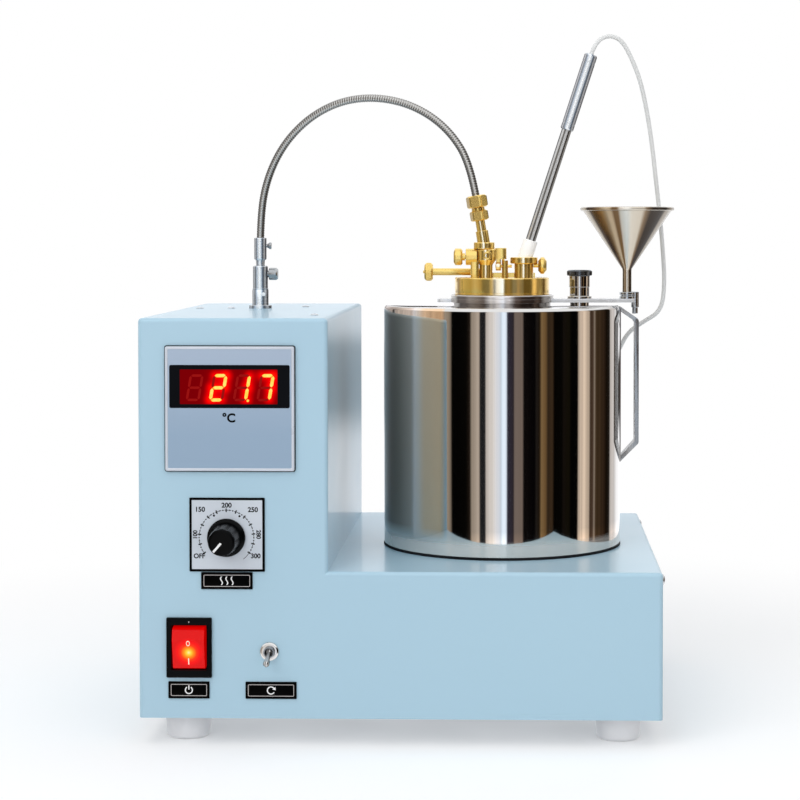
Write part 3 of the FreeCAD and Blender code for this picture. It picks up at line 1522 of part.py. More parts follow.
def make_cover():
    outline = [
        ("cover_radius - cover_wall", "cup_rim_z"),
        ("cover_radius", "cup_rim_z"),
        ("cover_radius", "cover_top - cover_bead"),
        ("cover_radius - cover_bead", "cover_top"),
        ("0", "cover_top"),
        ("0", "cover_top - cover_gauge"),
        ("cover_radius - cover_wall", "cover_top - cover_gauge"),
    ]
    cap = lathed("cover_turning", outline, ("bath_x", "bath_y", "0"))
    holes = [
        block(f"cover_port_{index + 1}", "port_width", "port_length", "cover_gauge + 2 * overrun",
              (f"{port_x(index)} - port_width / 2", "slide_y - port_length / 2",
               "cover_top - cover_gauge - overrun"))
        for index in range(3)
    ]
    holes.append(stirrer_way("cover_stirrer_hole"))
    holes.append(probe_way("cover_probe_hole"))
    less("cover", cap, *holes)

    plate = block("shutter_plate", "shutter_length", "shutter_width", "shutter_gauge",
                  ("shutter_left", "slide_y - shutter_width / 2", "shutter_bottom"))
    holes = [
        block(f"shutter_port_{index + 1}", "port_width", "port_length", "shutter_gauge + 2 * overrun",
              (f"{port_x(index, 'slide_travel')} - port_width / 2", "slide_y - port_length / 2",
               "shutter_bottom - overrun"))
        for index in range(3)
    ]
    less("shutter", plate, *holes)

    length = "shutter_length + 2 * slide_travel"
    left = "shutter_left - slide_travel"
    rails = []
    for word, start, lip in (
        ("front", "slide_y - shutter_width / 2 - rail_clearance - rail_width",
         "slide_y - shutter_width / 2 - rail_clearance - rail_width"),
        ("rear", "slide_y + shutter_width / 2 + rail_clearance",
         "slide_y + shutter_width / 2 - rail_lip"),
    ):
        wall = block(f"{word}_rail_wall", length, "rail_width", "rail_height", (left, start, "cover_top"))
        ledge = "shutter_bottom + shutter_gauge + rail_clearance"
        over = block(f"{word}_rail_lip", length, "rail_width + rail_clearance + rail_lip",
                     f"cover_top + rail_height - ({ledge})", (left, lip, ledge))
        rails.append(joined(f"{word}_rail", wall, over))
    post = block("guide_post", "guide_width", "guide_depth", "guide_height",
                 ("guide_left", "slide_y - guide_depth / 2", "cover_top"))
    bore = cylinder("guide_bore", "rod_radius + guide_clearance", "guide_width + 2 * overrun",
                    ("guide_left - overrun", "slide_y", "rod_z"), TO_RIGHT)
    rails.append(less("guide_post_bored", post, bore))
    group("slide_guides", rails)

    end = "shutter_left + rod_lug_width"
    rod = cylinder("rod", "rod_radius", f"{end} - rod_start", ("rod_start", "slide_y", "rod_z"), TO_RIGHT)
    under = "(shutter_bottom + shutter_gauge)"
    lug = block("rod_lug", "rod_lug_width", "rod_radius * 2", f"rod_z - {under}",
                ("shutter_left", "slide_y - rod_radius", under))
    knob = [
        ("0", "0"),
        ("pull_knob_radius - pull_knob_edge", "0"),
        ("pull_knob_radius", "pull_knob_edge"),
        ("pull_knob_radius", "pull_knob_length - pull_knob_edge"),
        ("pull_knob_radius - pull_knob_edge", "pull_knob_length"),
        ("pull_stud_radius", "pull_knob_length"),
        ("pull_stud_radius", "pull_knob_length + pull_stud_length"),
        ("0", "pull_knob_length + pull_stud_length"),
    ]
    button = lathed("slide_knob", knob, ("rod_start", "slide_y", "rod_z"), TO_LEFT)
    joined("slide_rod", rod, lug, button)


def stirrer_way(name):
    return cylinder(name, "socket_bore", "stirrer_top + stirrer_bottom",
                    along("-stirrer_bottom"), LEANS_LEFT)


def probe_way(name):
    return cylinder(name, "probe_tip_radius + probe_fit", "probe_tip_length + overrun",
                    on_probe("-probe_tip_length"), LEANS_RIGHT)


def head_block(name):
    corner = ("column_x - head_block_width / 2", "stirrer_y - head_block_depth / 2", "head_block_bottom")
    return block(name, "head_block_width", "head_block_depth", "head_block_top - head_block_bottom", corner)


def make_stirrer_socket():
    column = cylinder("socket_column", "column_radius", "head_block_bottom - cover_top + head_overlap",
                      ("column_x", "stirrer_y", "cover_top"))
    head = head_block("socket_head")
    neck = cylinder("socket_neck", "thick_stem_radius", "collar_height / 2 + head_overlap * 3",
                    along("-collar_height / 2 - head_overlap * 3"), LEANS_LEFT)
    collar = cylinder("socket_collar", "collar_radius", "collar_height",
                      along("-collar_height / 2"), LEANS_LEFT)
    thick = cylinder("socket_thick_stem", "thick_stem_radius", "thick_stem_top", along("0"), LEANS_LEFT)
    thin = cylinder("socket_thin_stem", "thin_stem_radius", "thin_stem_top", along("0"), LEANS_LEFT)
    whole = joined("socket_whole", column, head, neck, collar, thick, thin)
    less("stirrer_socket", whole, stirrer_way("socket_way"))

    for word, start, height, radius in (
        ("lower", "lower_nut_start", "lower_nut_height", "lower_nut_radius"),
        ("upper", "upper_nut_start", "upper_nut_height", "upper_nut_radius"),
    ):
        prism = hexagon(f"{word}_hexagon", radius, height, along(start), LEANS_LEFT)
        trim = lathed(f"{word}_trim", [
            ("0", "0"),
            (f"{radius} - hex_edge", "0"),
            (f"{radius} + hex_edge", "hex_edge"),
            (f"{radius} + hex_edge", f"{height} - hex_edge"),
            (f"{radius} - hex_edge", height),
            ("0", height),
        ], along(start), LEANS_LEFT)
        nut = shared(f"{word}_nut_solid", prism, trim)
        if word == "lower":
            rim = cylinder("lower_nut_neck", "nut_neck_radius", "nut_neck_height",
                           along(f"{start} + {height}"), LEANS_LEFT)
            length = f"{height} + nut_neck_height + 2 * overrun"
            bore = cylinder("lower_nut_bore", "thin_stem_radius", length,
                            along(f"{start} - overrun"), LEANS_LEFT)
            less("lower_nut", joined("lower_nut_whole", nut, rim), bore)
        else:
            bore = cylinder("upper_nut_bore", "casing_radius + casing_clearance", f"{height} + 2 * overrun",
                            along(f"{start} - overrun"), LEANS_LEFT)
            less("upper_nut", nut, bore)


def make_stirrer():
    rod = cylinder("stirrer_rod", "stirrer_radius", "stirrer_top + stirrer_bottom",
                   along("-stirrer_bottom"), LEANS_LEFT)
    hub = cylinder("stirrer_hub", "blade_hub_radius", "blade_height",
                   along("-stirrer_bottom"), LEANS_LEFT)
    flat = block("stirrer_blade_across", "2 * blade_reach", "blade_gauge", "blade_height", (
        "lean_x + stirrer_bottom * sin(stirrer_lean) - blade_reach * cos(stirrer_lean)",
        "stirrer_y - blade_gauge / 2",
        "lean_z - stirrer_bottom * cos(stirrer_lean) - blade_reach * sin(stirrer_lean)",
    ), LEANS_LEFT)
    deep = block("stirrer_blade_along", "blade_gauge", "2 * blade_reach", "blade_height", (
        "lean_x + stirrer_bottom * sin(stirrer_lean) - blade_gauge / 2 * cos(stirrer_lean)",
        "stirrer_y - blade_reach",
        "lean_z - stirrer_bottom * cos(stirrer_lean) - blade_gauge / 2 * sin(stirrer_lean)",
    ), LEANS_LEFT)
    return joined("stirrer", rod, hub, flat, deep)


def make_gas_valve():
    start = "(column_x - head_block_width / 2)"
    barrel = cylinder("valve_barrel", "valve_radius", f"{start} - valve_start",
                      ("valve_start", "stirrer_y", "valve_z"), TO_RIGHT)
    post = block("valve_post", "valve_post_width", "valve_radius * 1.6", "valve_z - cover_top",
                 ("valve_post_left", "stirrer_y - valve_radius * 0.8", "cover_top"))
    bore = cylinder("valve_bore", "valve_spindle_radius + guide_clearance",
                    "valve_spindle_length + overrun",
                    ("valve_start - overrun", "stirrer_y", "valve_z"), TO_RIGHT)
    column = cylinder("valve_column_room", "column_radius", "valve_z - cover_top",
                      ("column_x", "stirrer_y", "cover_top"))
    head = head_block("valve_head_room")
    collar = cylinder("valve_collar_room", "collar_radius", "collar_height", along("-collar_height / 2"),
                      LEANS_LEFT)
    less("gas_valve_body", joined("valve_whole", barrel, post), bore, column, head, collar)
    knob = [
        ("0", "-valve_spindle_length"),
        ("valve_spindle_radius", "-valve_spindle_length"),
        ("valve_spindle_radius", "thread_gap"),
        ("valve_neck_radius", "thread_gap"),
        ("valve_neck_radius", "valve_start - valve_knob_start - valve_knob_length"),
        ("valve_knob_radius - pull_knob_edge", "valve_start - valve_knob_start - valve_knob_length"),
        ("valve_knob_radius", "valve_start - valve_knob_start - valve_knob_length + pull_knob_edge"),
        ("valve_knob_radius", "valve_start - valve_knob_start - pull_knob_edge"),
        ("valve_knob_radius - pull_knob_edge * 1.6", "valve_start - valve_knob_start"),
        ("0", "valve_start - valve_knob_start"),
    ]
    return lathed("gas_valve_knob", knob, ("valve_start", "stirrer_y", "valve_z"), TO_LEFT)


def make_test_jet():
    post = cylinder("jet_column", "jet_post_radius", "jet_post_top - cover_top",
                    ("jet_post_x", "jet_pin_y", "cover_top"))
    start = "(jet_sleeve_left - thread_gap / 2)"
    pin_rod = cylinder("jet_pin", "jet_pin_radius", f"jet_pin_end - {start}",
                       (start, "jet_pin_y", "jet_pin_z"), TO_RIGHT)
    joined("jet_post", post, pin_rod)
    width = "(jet_sleeve_right - jet_sleeve_left)"
    sleeve = cylinder("jet_sleeve", "jet_sleeve_radius", width,
                      ("jet_sleeve_left", "jet_pin_y", "jet_pin_z"), TO_RIGHT)
    web = block("jet_web", f"{width} - thread_gap", "jet_sleeve_radius",
                "jet_block_bottom - jet_pin_z + thread_gap",
                ("jet_sleeve_left + thread_gap", "jet_pin_y - jet_sleeve_radius / 2", "jet_pin_z"))
    head = block("jet_block", "jet_block_width", "jet_block_depth", "jet_block_height",
                 ("jet_block_left", "jet_pin_y - jet_block_depth / 2", "jet_block_bottom"))
    doc.recompute()
    right = number("cabinet_left + jet_block_left + jet_block_width")
    soft = rounded("jet_block_soft", head, "jet_block_edge",
                   lambda edge: abs(edge.CenterOfMass.x - right) < 1e-3)
    pipe = cylinder("jet_tube", "jet_tube_radius", "jet_tube_length", (
        "middle_port_x",
        "jet_pin_y + jet_tube_reach - jet_tube_length * cos(jet_tube_drop)",
        "jet_pin_z - thread_gap * 2 + jet_tube_length * sin(jet_tube_drop)",
    ), ((-1, 0, 0), "90 + jet_tube_drop"))
    bore = cylinder("jet_bore", "jet_pin_radius + guide_clearance", f"{width} + 2 * overrun",
                    ("jet_sleeve_left - overrun", "jet_pin_y", "jet_pin_z"), TO_RIGHT)
    return less("test_jet", joined("jet_whole", sleeve, web, soft, pipe), bore)


def make_probe():
    outline = [
        ("0", "cover_top"),
        ("socket_radius", "cover_top"),
        ("socket_radius", "socket_flange_bottom"),
        ("socket_flange_radius - hex_edge / 2", "socket_flange_bottom"),
        ("socket_flange_radius", "socket_flange_bottom + hex_edge / 2"),
        ("socket_flange_radius", "socket_flange_top - hex_edge / 2"),
        ("socket_flange_radius - hex_edge / 2", "socket_flange_top"),
        ("0", "socket_flange_top"),
    ]
    body = lathed("socket_turning", outline, ("socket_x", "probe_y", "0"))
    seat = cylinder("socket_sleeve_seat", "sleeve_radius", "sleeve_tail + overrun * 2",
                    on_probe("-sleeve_tail"), LEANS_RIGHT)
    hole = cylinder("socket_clamp_hole", "clamp_shank + thread_clearance", "socket_radius + overrun",
                    ("socket_x", "probe_y", "clamp_z"), TO_RIGHT)
    less("probe_socket", body, probe_way("socket_probe_hole"), seat, hole)

    thick = cylinder("probe_shaft", "probe_radius", "probe_length + sleeve_tail",
                     on_probe("-sleeve_tail"), LEANS_RIGHT)
    thin = cylinder("probe_tip", "probe_tip_radius", "probe_tip_length",
                    on_probe("-probe_tip_length"), LEANS_RIGHT)
    joined("probe_rod", thick, thin)
    sleeve = [
        ("probe_radius", "0"),
        ("sleeve_radius", "0"),
        ("sleeve_radius", "sleeve_length"),
        ("probe_radius", "sleeve_length"),
    ]
    lathed("probe_sleeve", sleeve, on_probe("-sleeve_tail"), LEANS_RIGHT)
    grip = [
        ("probe_radius", "0"),
        ("probe_handle_radius - probe_handle_edge / 2", "0"),
        ("probe_handle_radius", "probe_handle_edge"),
        ("probe_handle_radius", "probe_handle_end - probe_handle_start - probe_handle_edge"),
        ("probe_handle_radius - probe_handle_edge", "probe_handle_end - probe_handle_start"),
        ("0", "probe_handle_end - probe_handle_start"),
        ("0", "probe_handle_end - probe_handle_start - probe_handle_plug"),
        ("probe_radius", "probe_handle_end - probe_handle_start - probe_handle_plug"),
    ]
    lathed("probe_handle", grip, on_probe("probe_handle_start"), LEANS_RIGHT)
    clamp = [
        ("0", "clamp_seat"),
        ("clamp_shank", "clamp_seat"),
        ("clamp_shank", "clamp_start - socket_x"),
        ("clamp_waist", "clamp_start - socket_x"),
        ("clamp_radius", "clamp_start - socket_x + clamp_length * 0.35"),
        ("clamp_radius", "clamp_start - socket_x + clamp_length * 0.65"),
        ("clamp_waist", "clamp_start - socket_x + clamp_length"),
        ("0", "clamp_start - socket_x + clamp_length"),
    ]
    lathed("probe_clamp_screw", clamp, ("socket_x", "probe_y", "clamp_z"), TO_RIGHT)


def make_lead():
    start = spot_of(on_probe("probe_handle_end"))
    end = spot_of(("gland_x", "panel_back + gland_length", "gland_z"))
    path, radii = route_path([start] + route_points(LEAD_ROUTE) + [end])
    print("lead radii", [round(radius, 1) for radius in radii])
    lead = doc.addObject("Part::Feature", "probe_lead")
    lead.Shape = tube(path, number("lead_radius"))
    return lead


NODES = (
    "casing base_plate rear_panel feet fasteners mains_inlet lead_gland "
    "indicator_bezel indicator_case indicator_window indicator_digits "
    "dial_plate regulator_body regulator_spindle heater_knob label_plates "
    "mains_switch_frame mains_rocker motor_switch_body motor_switch_nut motor_switch_lever "
    "motor_body motor_shaft motor_bracket drive_sleeve sleeve_screw shaft_ferrule ferrule_screw "
    "flexible_casing flexible_core "
    "bath_gasket bath_shell bath_bottom heater_element air_chamber neck_ring oil_cup "
    "bracket_plate filler_port filler_cap funnel bath_handle "
    "cover shutter slide_guides slide_rod "
    "stirrer_socket lower_nut upper_nut stirrer gas_valve_body gas_valve_knob jet_post test_jet "
    "probe_socket probe_rod probe_sleeve probe_handle probe_clamp_screw probe_lead"
).split()


def write_parts():
    doc.recompute()
    for thing in doc.Objects:
        state = set(thing.State) & {"Invalid", "Error"}
        if state:
            raise RuntimeError(f"{thing.Name} is {sorted(state)}")
    os.makedirs("parts", exist_ok=True)
    for name in NODES:
        shape = doc.getObject(name).Shape
        if shape.isNull() or not shape.isValid():
            raise RuntimeError(f"{name} has no valid shape")
        shape.exportStep(f"parts/{name}.step")
    print(len(NODES), "parts written")


for make in (
    make_casing, make_base_plate, make_rear_panel, make_feet, make_fasteners, make_mains_inlet,
    make_lead_gland, make_indicator, make_regulator, make_labels, make_mains_switch, make_motor_switch,
    make_motor, make_drive, make_flexible_shaft, make_bath, make_oil_cup, make_bath_top_fittings,
    make_funnel, make_handle, make_cover, make_stirrer_socket, make_stirrer, make_gas_valve,
    make_test_jet, make_probe, make_lead,
):
    make()

write_parts()
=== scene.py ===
import math
import bmesh
import bpy
from mathutils import Matrix, Vector


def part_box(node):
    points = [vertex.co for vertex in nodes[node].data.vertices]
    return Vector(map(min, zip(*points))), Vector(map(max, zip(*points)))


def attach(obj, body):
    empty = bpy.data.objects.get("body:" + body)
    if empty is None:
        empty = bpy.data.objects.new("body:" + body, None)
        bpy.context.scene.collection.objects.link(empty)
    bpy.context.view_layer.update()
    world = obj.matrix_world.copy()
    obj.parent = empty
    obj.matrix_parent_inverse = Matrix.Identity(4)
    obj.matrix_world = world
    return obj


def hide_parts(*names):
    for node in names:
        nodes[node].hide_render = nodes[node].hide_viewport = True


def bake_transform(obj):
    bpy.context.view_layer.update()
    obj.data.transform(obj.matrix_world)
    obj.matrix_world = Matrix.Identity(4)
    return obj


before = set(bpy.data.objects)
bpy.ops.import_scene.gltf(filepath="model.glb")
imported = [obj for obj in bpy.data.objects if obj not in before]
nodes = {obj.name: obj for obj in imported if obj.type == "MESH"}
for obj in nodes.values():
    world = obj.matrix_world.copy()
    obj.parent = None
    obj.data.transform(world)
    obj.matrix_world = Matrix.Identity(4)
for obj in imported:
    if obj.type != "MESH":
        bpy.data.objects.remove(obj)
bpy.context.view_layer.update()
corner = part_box("casing")[0]
scene = bpy.context.scene
print("frame loaded:", len(nodes), "nodes")

# Places are millimetres from the cabinet's left side, its front face and the bench.
# The stirrer and the probe lean to a side: an axis has its start and its lean in degrees

stirrerAxis = {"start": (186.2, 107.9, 272.3), "lean": -9.4}
probeAxis = {"start": (210.4, 111.9, 265.3), "lean": 18.05}


def turning(degrees, axis):
    return Matrix.Rotation(math.radians(degrees), 4, axis)


turns = {
    "up": Matrix.Identity(4), "front": turning(90, "X"), "back": turning(-90, "X"),
    "right": turning(90, "Y"), "left": turning(-90, "Y"),
    "stirrer": turning(stirrerAxis["lean"], "Y"), "probe": turning(probeAxis["lean"], "Y"),
    "rocker": turning(90 + 13, "X"), "lever": turning(90 + 16, "X"),
}


def spot(x, y, z):
    return Vector((corner.x + x / 1000, corner.y + y / 1000, z / 1000))


def seat(place, turn="up"):
    return Matrix.Translation(spot(*place)) @ turns[turn] @ Matrix.Scale(0.001, 4)


def onAxis(axis, distance):
    x, y, z = axis["start"]
    lean = math.radians(axis["lean"])
    return (x + distance * math.sin(lean), y, z + distance * math.cos(lean))


# Camera and the two cords come first


def aimCamera():
    view = {
        "place": (0.05869, -1.2108, 0.2788), "lens": 91.7, "across": -0.0854, "up": -0.1355,
        "dip": 0.028, "swing": 0.025,
    }
    data = bpy.data.cameras.new("productCamera")
    data.lens = view["lens"]
    data.sensor_width = 36
    data.shift_x = view["across"]
    data.shift_y = view["up"]
    data.clip_end = 50
    camera = bpy.data.objects.new("productCamera", data)
    camera.location = view["place"]
    camera.rotation_euler = (math.radians(90) - view["dip"], 0, view["swing"])
    scene.collection.objects.link(camera)
    scene.camera = camera


aimCamera()


def shown(name, data):
    piece = bpy.data.objects.new(name, data)
    scene.collection.objects.link(piece)
    return piece


def copyOfResult(piece):
    return bpy.data.meshes.new_from_object(piece.evaluated_get(bpy.context.evaluated_depsgraph_get()))


def routeLine(name, route):
    # A route's smooth line, read back as points
    curve = bpy.data.curves.new(name, "CURVE")
    curve.dimensions = "3D"
    curve.resolution_u = 24
    spline = curve.splines.new("NURBS")
    spline.points.add(len(route) - 1)
    for point, place in zip(spline.points, route):
        point.co = (*spot(*place), 1)
    spline.order_u = 3
    spline.use_endpoint_u = True
    line = shown(name, curve)
    mesh = copyOfResult(line)
    points = [vertex.co.copy() for vertex in mesh.vertices]
    bpy.data.objects.remove(line)
    return points


shaft = {
    "route": [(47.9, 150, 289.9), (52.5, 147, 313.3), (63.4, 142.4, 334.2), (80.2, 136.4, 350.4),
              (101.2, 129.8, 360), (124.4, 123.2, 361.1), (146.7, 117.1, 354.6), (165.6, 111.5, 340.6)],
    "start": (47.9, 150, 266),
    "coreStart": (47.9, 150, 254.8),
    "radius": 2.35, "ridge": 0.2, "pitch": 1.5, "rings": 1300, "sides": 14,
    "coreRadius": 1.1, "coreRings": 200, "coreSides": 10,
    "still": (47.9, 150, 276.5), "carried": (178.3, 107.9, 322),
}
lead = {
    "route": [(251.7, 111.9, 392), (258.8, 112.3, 396.9), (267.2, 114, 394.6), (273.2, 116.6, 384.5),
              (278.9, 120.2, 371), (283.2, 124.2, 353), (286.6, 128.4, 333), (289.2, 132.6, 312),
              (291.9, 136.6, 291), (294, 139.6, 270), (295.4, 141.4, 249), (293.5, 143.4, 232.3),
              (282.6, 147.4, 225.5), (273.9, 154, 219), (268.4, 161.5, 207.5), (261.8, 170, 190),
              (252.8, 179, 169.5), (243.2, 188, 147.5), (234.6, 197, 125), (228.6, 206.5, 107.5),
              (225.3, 217, 98), (223.3, 229.5, 98.4), (221.8, 242.5, 99.6), (221, 253.5, 94.5),
              (221, 260.5, 82.5), (221, 263, 71), (221, 261.5, 60.6), (221, 255.7, 54)],
    "end": (221, 247.2, 54),
    "radius": 1.3, "rings": 420, "sides": 14, "still": (290, 143, 226), "carried": (258, 112, 392),
}
shaftEnds = [onAxis(stirrerAxis, 24.5 + 23.9), onAxis(stirrerAxis, 24.5)]
shaftLine = routeLine("shaftLine", [shaft["start"], *shaft["route"], *shaftEnds])
coreLine = routeLine("coreLine", [shaft["coreStart"], *shaft["route"], *shaftEnds])
leadLine = routeLine("leadLine", [onAxis(probeAxis, 126.2), *lead["route"], lead["end"]])


def lengthOf(line):
    return sum((after - before).length for before, after in zip(line, line[1:]))


print("camera and routes:", *(round(lengthOf(line), 4) for line in (shaftLine, coreLine, leadLine)))

# Node helpers, for geometry trees and for materials


def addNode(tree, kind, inputs=None, **settings):
    node = tree.nodes.new(kind)
    for word, value in settings.items():
        setattr(node, word, value)
    for socket, value in (inputs or {}).items():
        if isinstance(value, bpy.types.Node):
            value = value.outputs[0]
        if isinstance(value, bpy.types.NodeSocket):
            tree.links.new(value, node.inputs[socket])
        else:
            node.inputs[socket].default_value = value
    return node


def sums(tree, operation, *values):
    return addNode(tree, "ShaderNodeMath", dict(enumerate(values)), operation=operation)


def newTree(name, inputs):
    tree = bpy.data.node_groups.new(name, "GeometryNodeTree")
    tree.interface.new_socket("Geometry", in_out="OUTPUT", socket_type="NodeSocketGeometry")
    tree.interface.new_socket("Geometry", in_out="INPUT", socket_type="NodeSocketGeometry")
    for label, kind in {**inputs, "Finish": "Material"}.items():
        tree.interface.new_socket(label, in_out="INPUT", socket_type="NodeSocket" + kind)
    return tree, tree.nodes.new("NodeGroupInput").outputs


def endTree(tree, result, finishInput):
    real = addNode(tree, "GeometryNodeRealizeInstances", {"Geometry": result})
    painted = addNode(tree, "GeometryNodeSetMaterial", {"Geometry": real, "Material": finishInput})
    out = tree.nodes.new("NodeGroupOutput")
    tree.links.new(painted.outputs[0], out.inputs[0])
    return tree


def makeTurnedTree():
    # A profile, given as points, swept round the Z axis; its rows meet each point of the profile
    tree, given = newTree("turnedSolid", {"Rows": "Int", "Steps": "Int"})
    columns = addNode(tree, "FunctionNodeIntegerMath", {0: given["Steps"], 1: 1}, operation="ADD")
    grid = addNode(tree, "GeometryNodeMeshGrid", {"Vertices X": given["Rows"], "Vertices Y": columns})
    index = addNode(tree, "GeometryNodeInputIndex")
    row = addNode(tree, "FunctionNodeIntegerMath", {0: index, 1: columns}, operation="DIVIDE_FLOOR")
    column = addNode(tree, "FunctionNodeIntegerMath", {0: index, 1: columns}, operation="MODULO")
    profile = addNode(tree, "GeometryNodeSampleIndex", {
        "Geometry": given["Geometry"], "Value": addNode(tree, "GeometryNodeInputPosition"), "Index": row,
    }, data_type="FLOAT_VECTOR", domain="POINT")
    parts = addNode(tree, "ShaderNodeSeparateXYZ", {0: profile}).outputs
    angle = sums(tree, "MULTIPLY", sums(tree, "DIVIDE", column, given["Steps"]), 2 * math.pi)
    round = addNode(tree, "ShaderNodeCombineXYZ", {
        "X": sums(tree, "MULTIPLY", parts["X"], sums(tree, "COSINE", angle)),
        "Y": sums(tree, "MULTIPLY", parts["X"], sums(tree, "SINE", angle)),
        "Z": parts["Z"],
    })
    shape = addNode(tree, "GeometryNodeSetPosition", {"Geometry": grid, "Position": round})
    mapped = addNode(tree, "GeometryNodeStoreNamedAttribute", {
        "Geometry": shape, "Name": "UVMap", "Value": grid.outputs["UV Map"],
    }, data_type="FLOAT2", domain="CORNER")
    closed = addNode(tree, "GeometryNodeMergeByDistance", {"Geometry": mapped, "Distance": 0.0005})
    return endTree(tree, closed, given["Finish"])


def makeRoundTree():
    # Copies of one shape, turned about the Z axis in equal steps
    tree, given = newTree("copiesRound", {"Count": "Int", "First": "Float", "Step": "Float"})
    points = addNode(tree, "GeometryNodePoints", {"Count": given["Count"]})
    index = addNode(tree, "GeometryNodeInputIndex")
    angle = sums(tree, "ADD", given["First"], sums(tree, "MULTIPLY", index, given["Step"]))
    turn = addNode(tree, "ShaderNodeCombineXYZ", {"Z": sums(tree, "RADIANS", angle)})
    copies = addNode(tree, "GeometryNodeInstanceOnPoints", {
        "Points": points, "Instance": given["Geometry"], "Rotation": turn,
    })
    return endTree(tree, copies, given["Finish"])


def makeSpotTree():
    # Copies of one shape, on the points of another object, each aimed by that point's own direction
    tree, given = newTree("copiesOnSpots", {"Spots": "Object"})
    spots = addNode(tree, "GeometryNodeObjectInfo", {"Object": given["Spots"]})
    aim = addNode(tree, "GeometryNodeInputNamedAttribute", {"Name": "aim"}, data_type="FLOAT_VECTOR")
    turn = addNode(tree, "FunctionNodeAlignRotationToVector", {"Vector": aim}, axis="Z")
    copies = addNode(tree, "GeometryNodeInstanceOnPoints", {
        "Points": spots.outputs["Geometry"], "Instance": given["Geometry"], "Rotation": turn,
    })
    return endTree(tree, copies, given["Finish"])


def makeTubeTree():
    # A tube along a line of points, with a wire wound round it where the ridge isn't nought
    tree, given = newTree("woundTube", {
        "Rings": "Int", "Sides": "Int", "Radius": "Float", "Ridge": "Float", "Pitch": "Float",
    })
    line = addNode(tree, "GeometryNodeMeshToCurve", {"Mesh": given["Geometry"]})
    even = addNode(tree, "GeometryNodeResampleCurve", {"Curve": line, "Count": given["Rings"]})
    travelled = addNode(tree, "GeometryNodeCaptureAttribute", {"Geometry": even})
    travelled.capture_items.new("FLOAT", "travelled")
    tree.links.new(addNode(tree, "GeometryNodeSplineParameter").outputs["Length"], travelled.inputs[1])
    ring = addNode(tree, "GeometryNodeCurvePrimitiveCircle",
                   {"Resolution": given["Sides"], "Radius": given["Radius"]})
    around = addNode(tree, "GeometryNodeCaptureAttribute", {"Geometry": ring})
    around.capture_items.new("FLOAT", "around")
    tree.links.new(addNode(tree, "GeometryNodeSplineParameter").outputs["Factor"], around.inputs[1])
    tube = addNode(tree, "GeometryNodeCurveToMesh",
                   {"Curve": travelled, "Profile Curve": around, "Fill Caps": True})
    turn = sums(tree, "ADD", sums(tree, "DIVIDE", travelled.outputs[1], given["Pitch"]), around.outputs[1])
    wave = sums(tree, "ABSOLUTE", sums(tree, "SINE", sums(tree, "MULTIPLY", turn, math.pi)))
    rise = sums(tree, "MULTIPLY", sums(tree, "SUBTRACT", wave, 1.0), given["Ridge"])
    push = addNode(tree, "ShaderNodeVectorMath", {
        0: addNode(tree, "GeometryNodeInputNormal"), "Scale": rise,
    }, operation="SCALE")
    shape = addNode(tree, "GeometryNodeSetPosition", {"Geometry": tube, "Offset": push})
    return endTree(tree, shape, given["Finish"])


turnedTree = makeTurnedTree()
roundTree = makeRoundTree()
spotTree = makeSpotTree()
tubeTree = makeTubeTree()


def grown(piece, tree, settings):
    # Runs a geometry tree on a piece and keeps the result as a plain mesh
    modifier = piece.modifiers.new(tree.name, "NODES")
    modifier.node_group = tree
    for item in tree.interface.items_tree:
        if item.in_out == "INPUT" and item.name in settings:
            value = settings[item.name]
            modifier[item.identifier] = finishes[value] if item.name == "Finish" else value
    mesh = copyOfResult(piece)
    piece.modifiers.clear()
    piece.data = mesh
    return piece


# Mesh helpers


def eased(corners, closed=True, steps=5):
    # Rounds the corners (x, y, radius) of an outline
    points = []
    count = len(corners)
    for index, (x, y, *given) in enumerate(corners):
        radius = given[0] if given else 0
        here = Vector((x, y))
        if not radius or (not closed and index in (0, count - 1)):
            points.append(here)
            continue
        before = (Vector(corners[index - 1][:2]) - here).normalized()
        after = (Vector(corners[(index + 1) % count][:2]) - here).normalized()
        half = before.angle(after) / 2
        middle = here + (before + after).normalized() * radius / math.sin(half)
        start = here + before * radius / math.tan(half) - middle
        sweep = start.angle_signed(here + after * radius / math.tan(half) - middle)
        for step in range(steps + 1):
            turn = Matrix.Rotation(-sweep * step / steps, 2)
            points.append(middle + turn @ start)
    return points


def rectangle(left, low, right, high, radius=0.2):
    return [(left, low, radius), (right, low, radius), (right, high, radius), (left, high, radius)]


def disc(radius, steps=32, x=0, y=0):
    return [(x + radius * math.cos(2 * math.pi * i / steps), y + radius * math.sin(2 * math.pi * i / steps))
            for i in range(steps)]


def settled(piece, matrix, sharp=35):
    # Places a mesh for good, turns its faces outwards and smooths it
    mesh = piece.data
    mesh.transform(matrix)
    made = bmesh.new()
    made.from_mesh(mesh)
    bmesh.ops.recalc_face_normals(made, faces=made.faces)
    made.to_mesh(mesh)
    made.free()
    mesh.shade_smooth()
    mesh.set_sharp_from_angle(angle=math.radians(sharp))
    return piece


def turned(name, profile, finish, place, turn="up", steps=64, loop=False, ease=5, sharp=35):
    points = eased(profile, loop, ease)
    if loop:
        points.append(points[0])
    mesh = bpy.data.meshes.new(name)
    mesh.from_pydata([(x, 0, z) for x, z in points], [], [])
    piece = grown(shown(name, mesh), turnedTree, {"Rows": len(points), "Steps": steps, "Finish": finish})
    return settled(piece, seat(place, turn), sharp)


def belt(made, one, other):
    # A band of faces between two rings of vertices, and the edges that lie on the rings
    rims = []
    for index in range(len(one)):
        after = (index + 1) % len(one)
        side = made.faces.new((one[index], one[after], other[after], other[index]))
        rims += [side.edges[0], side.edges[2]]
    return rims


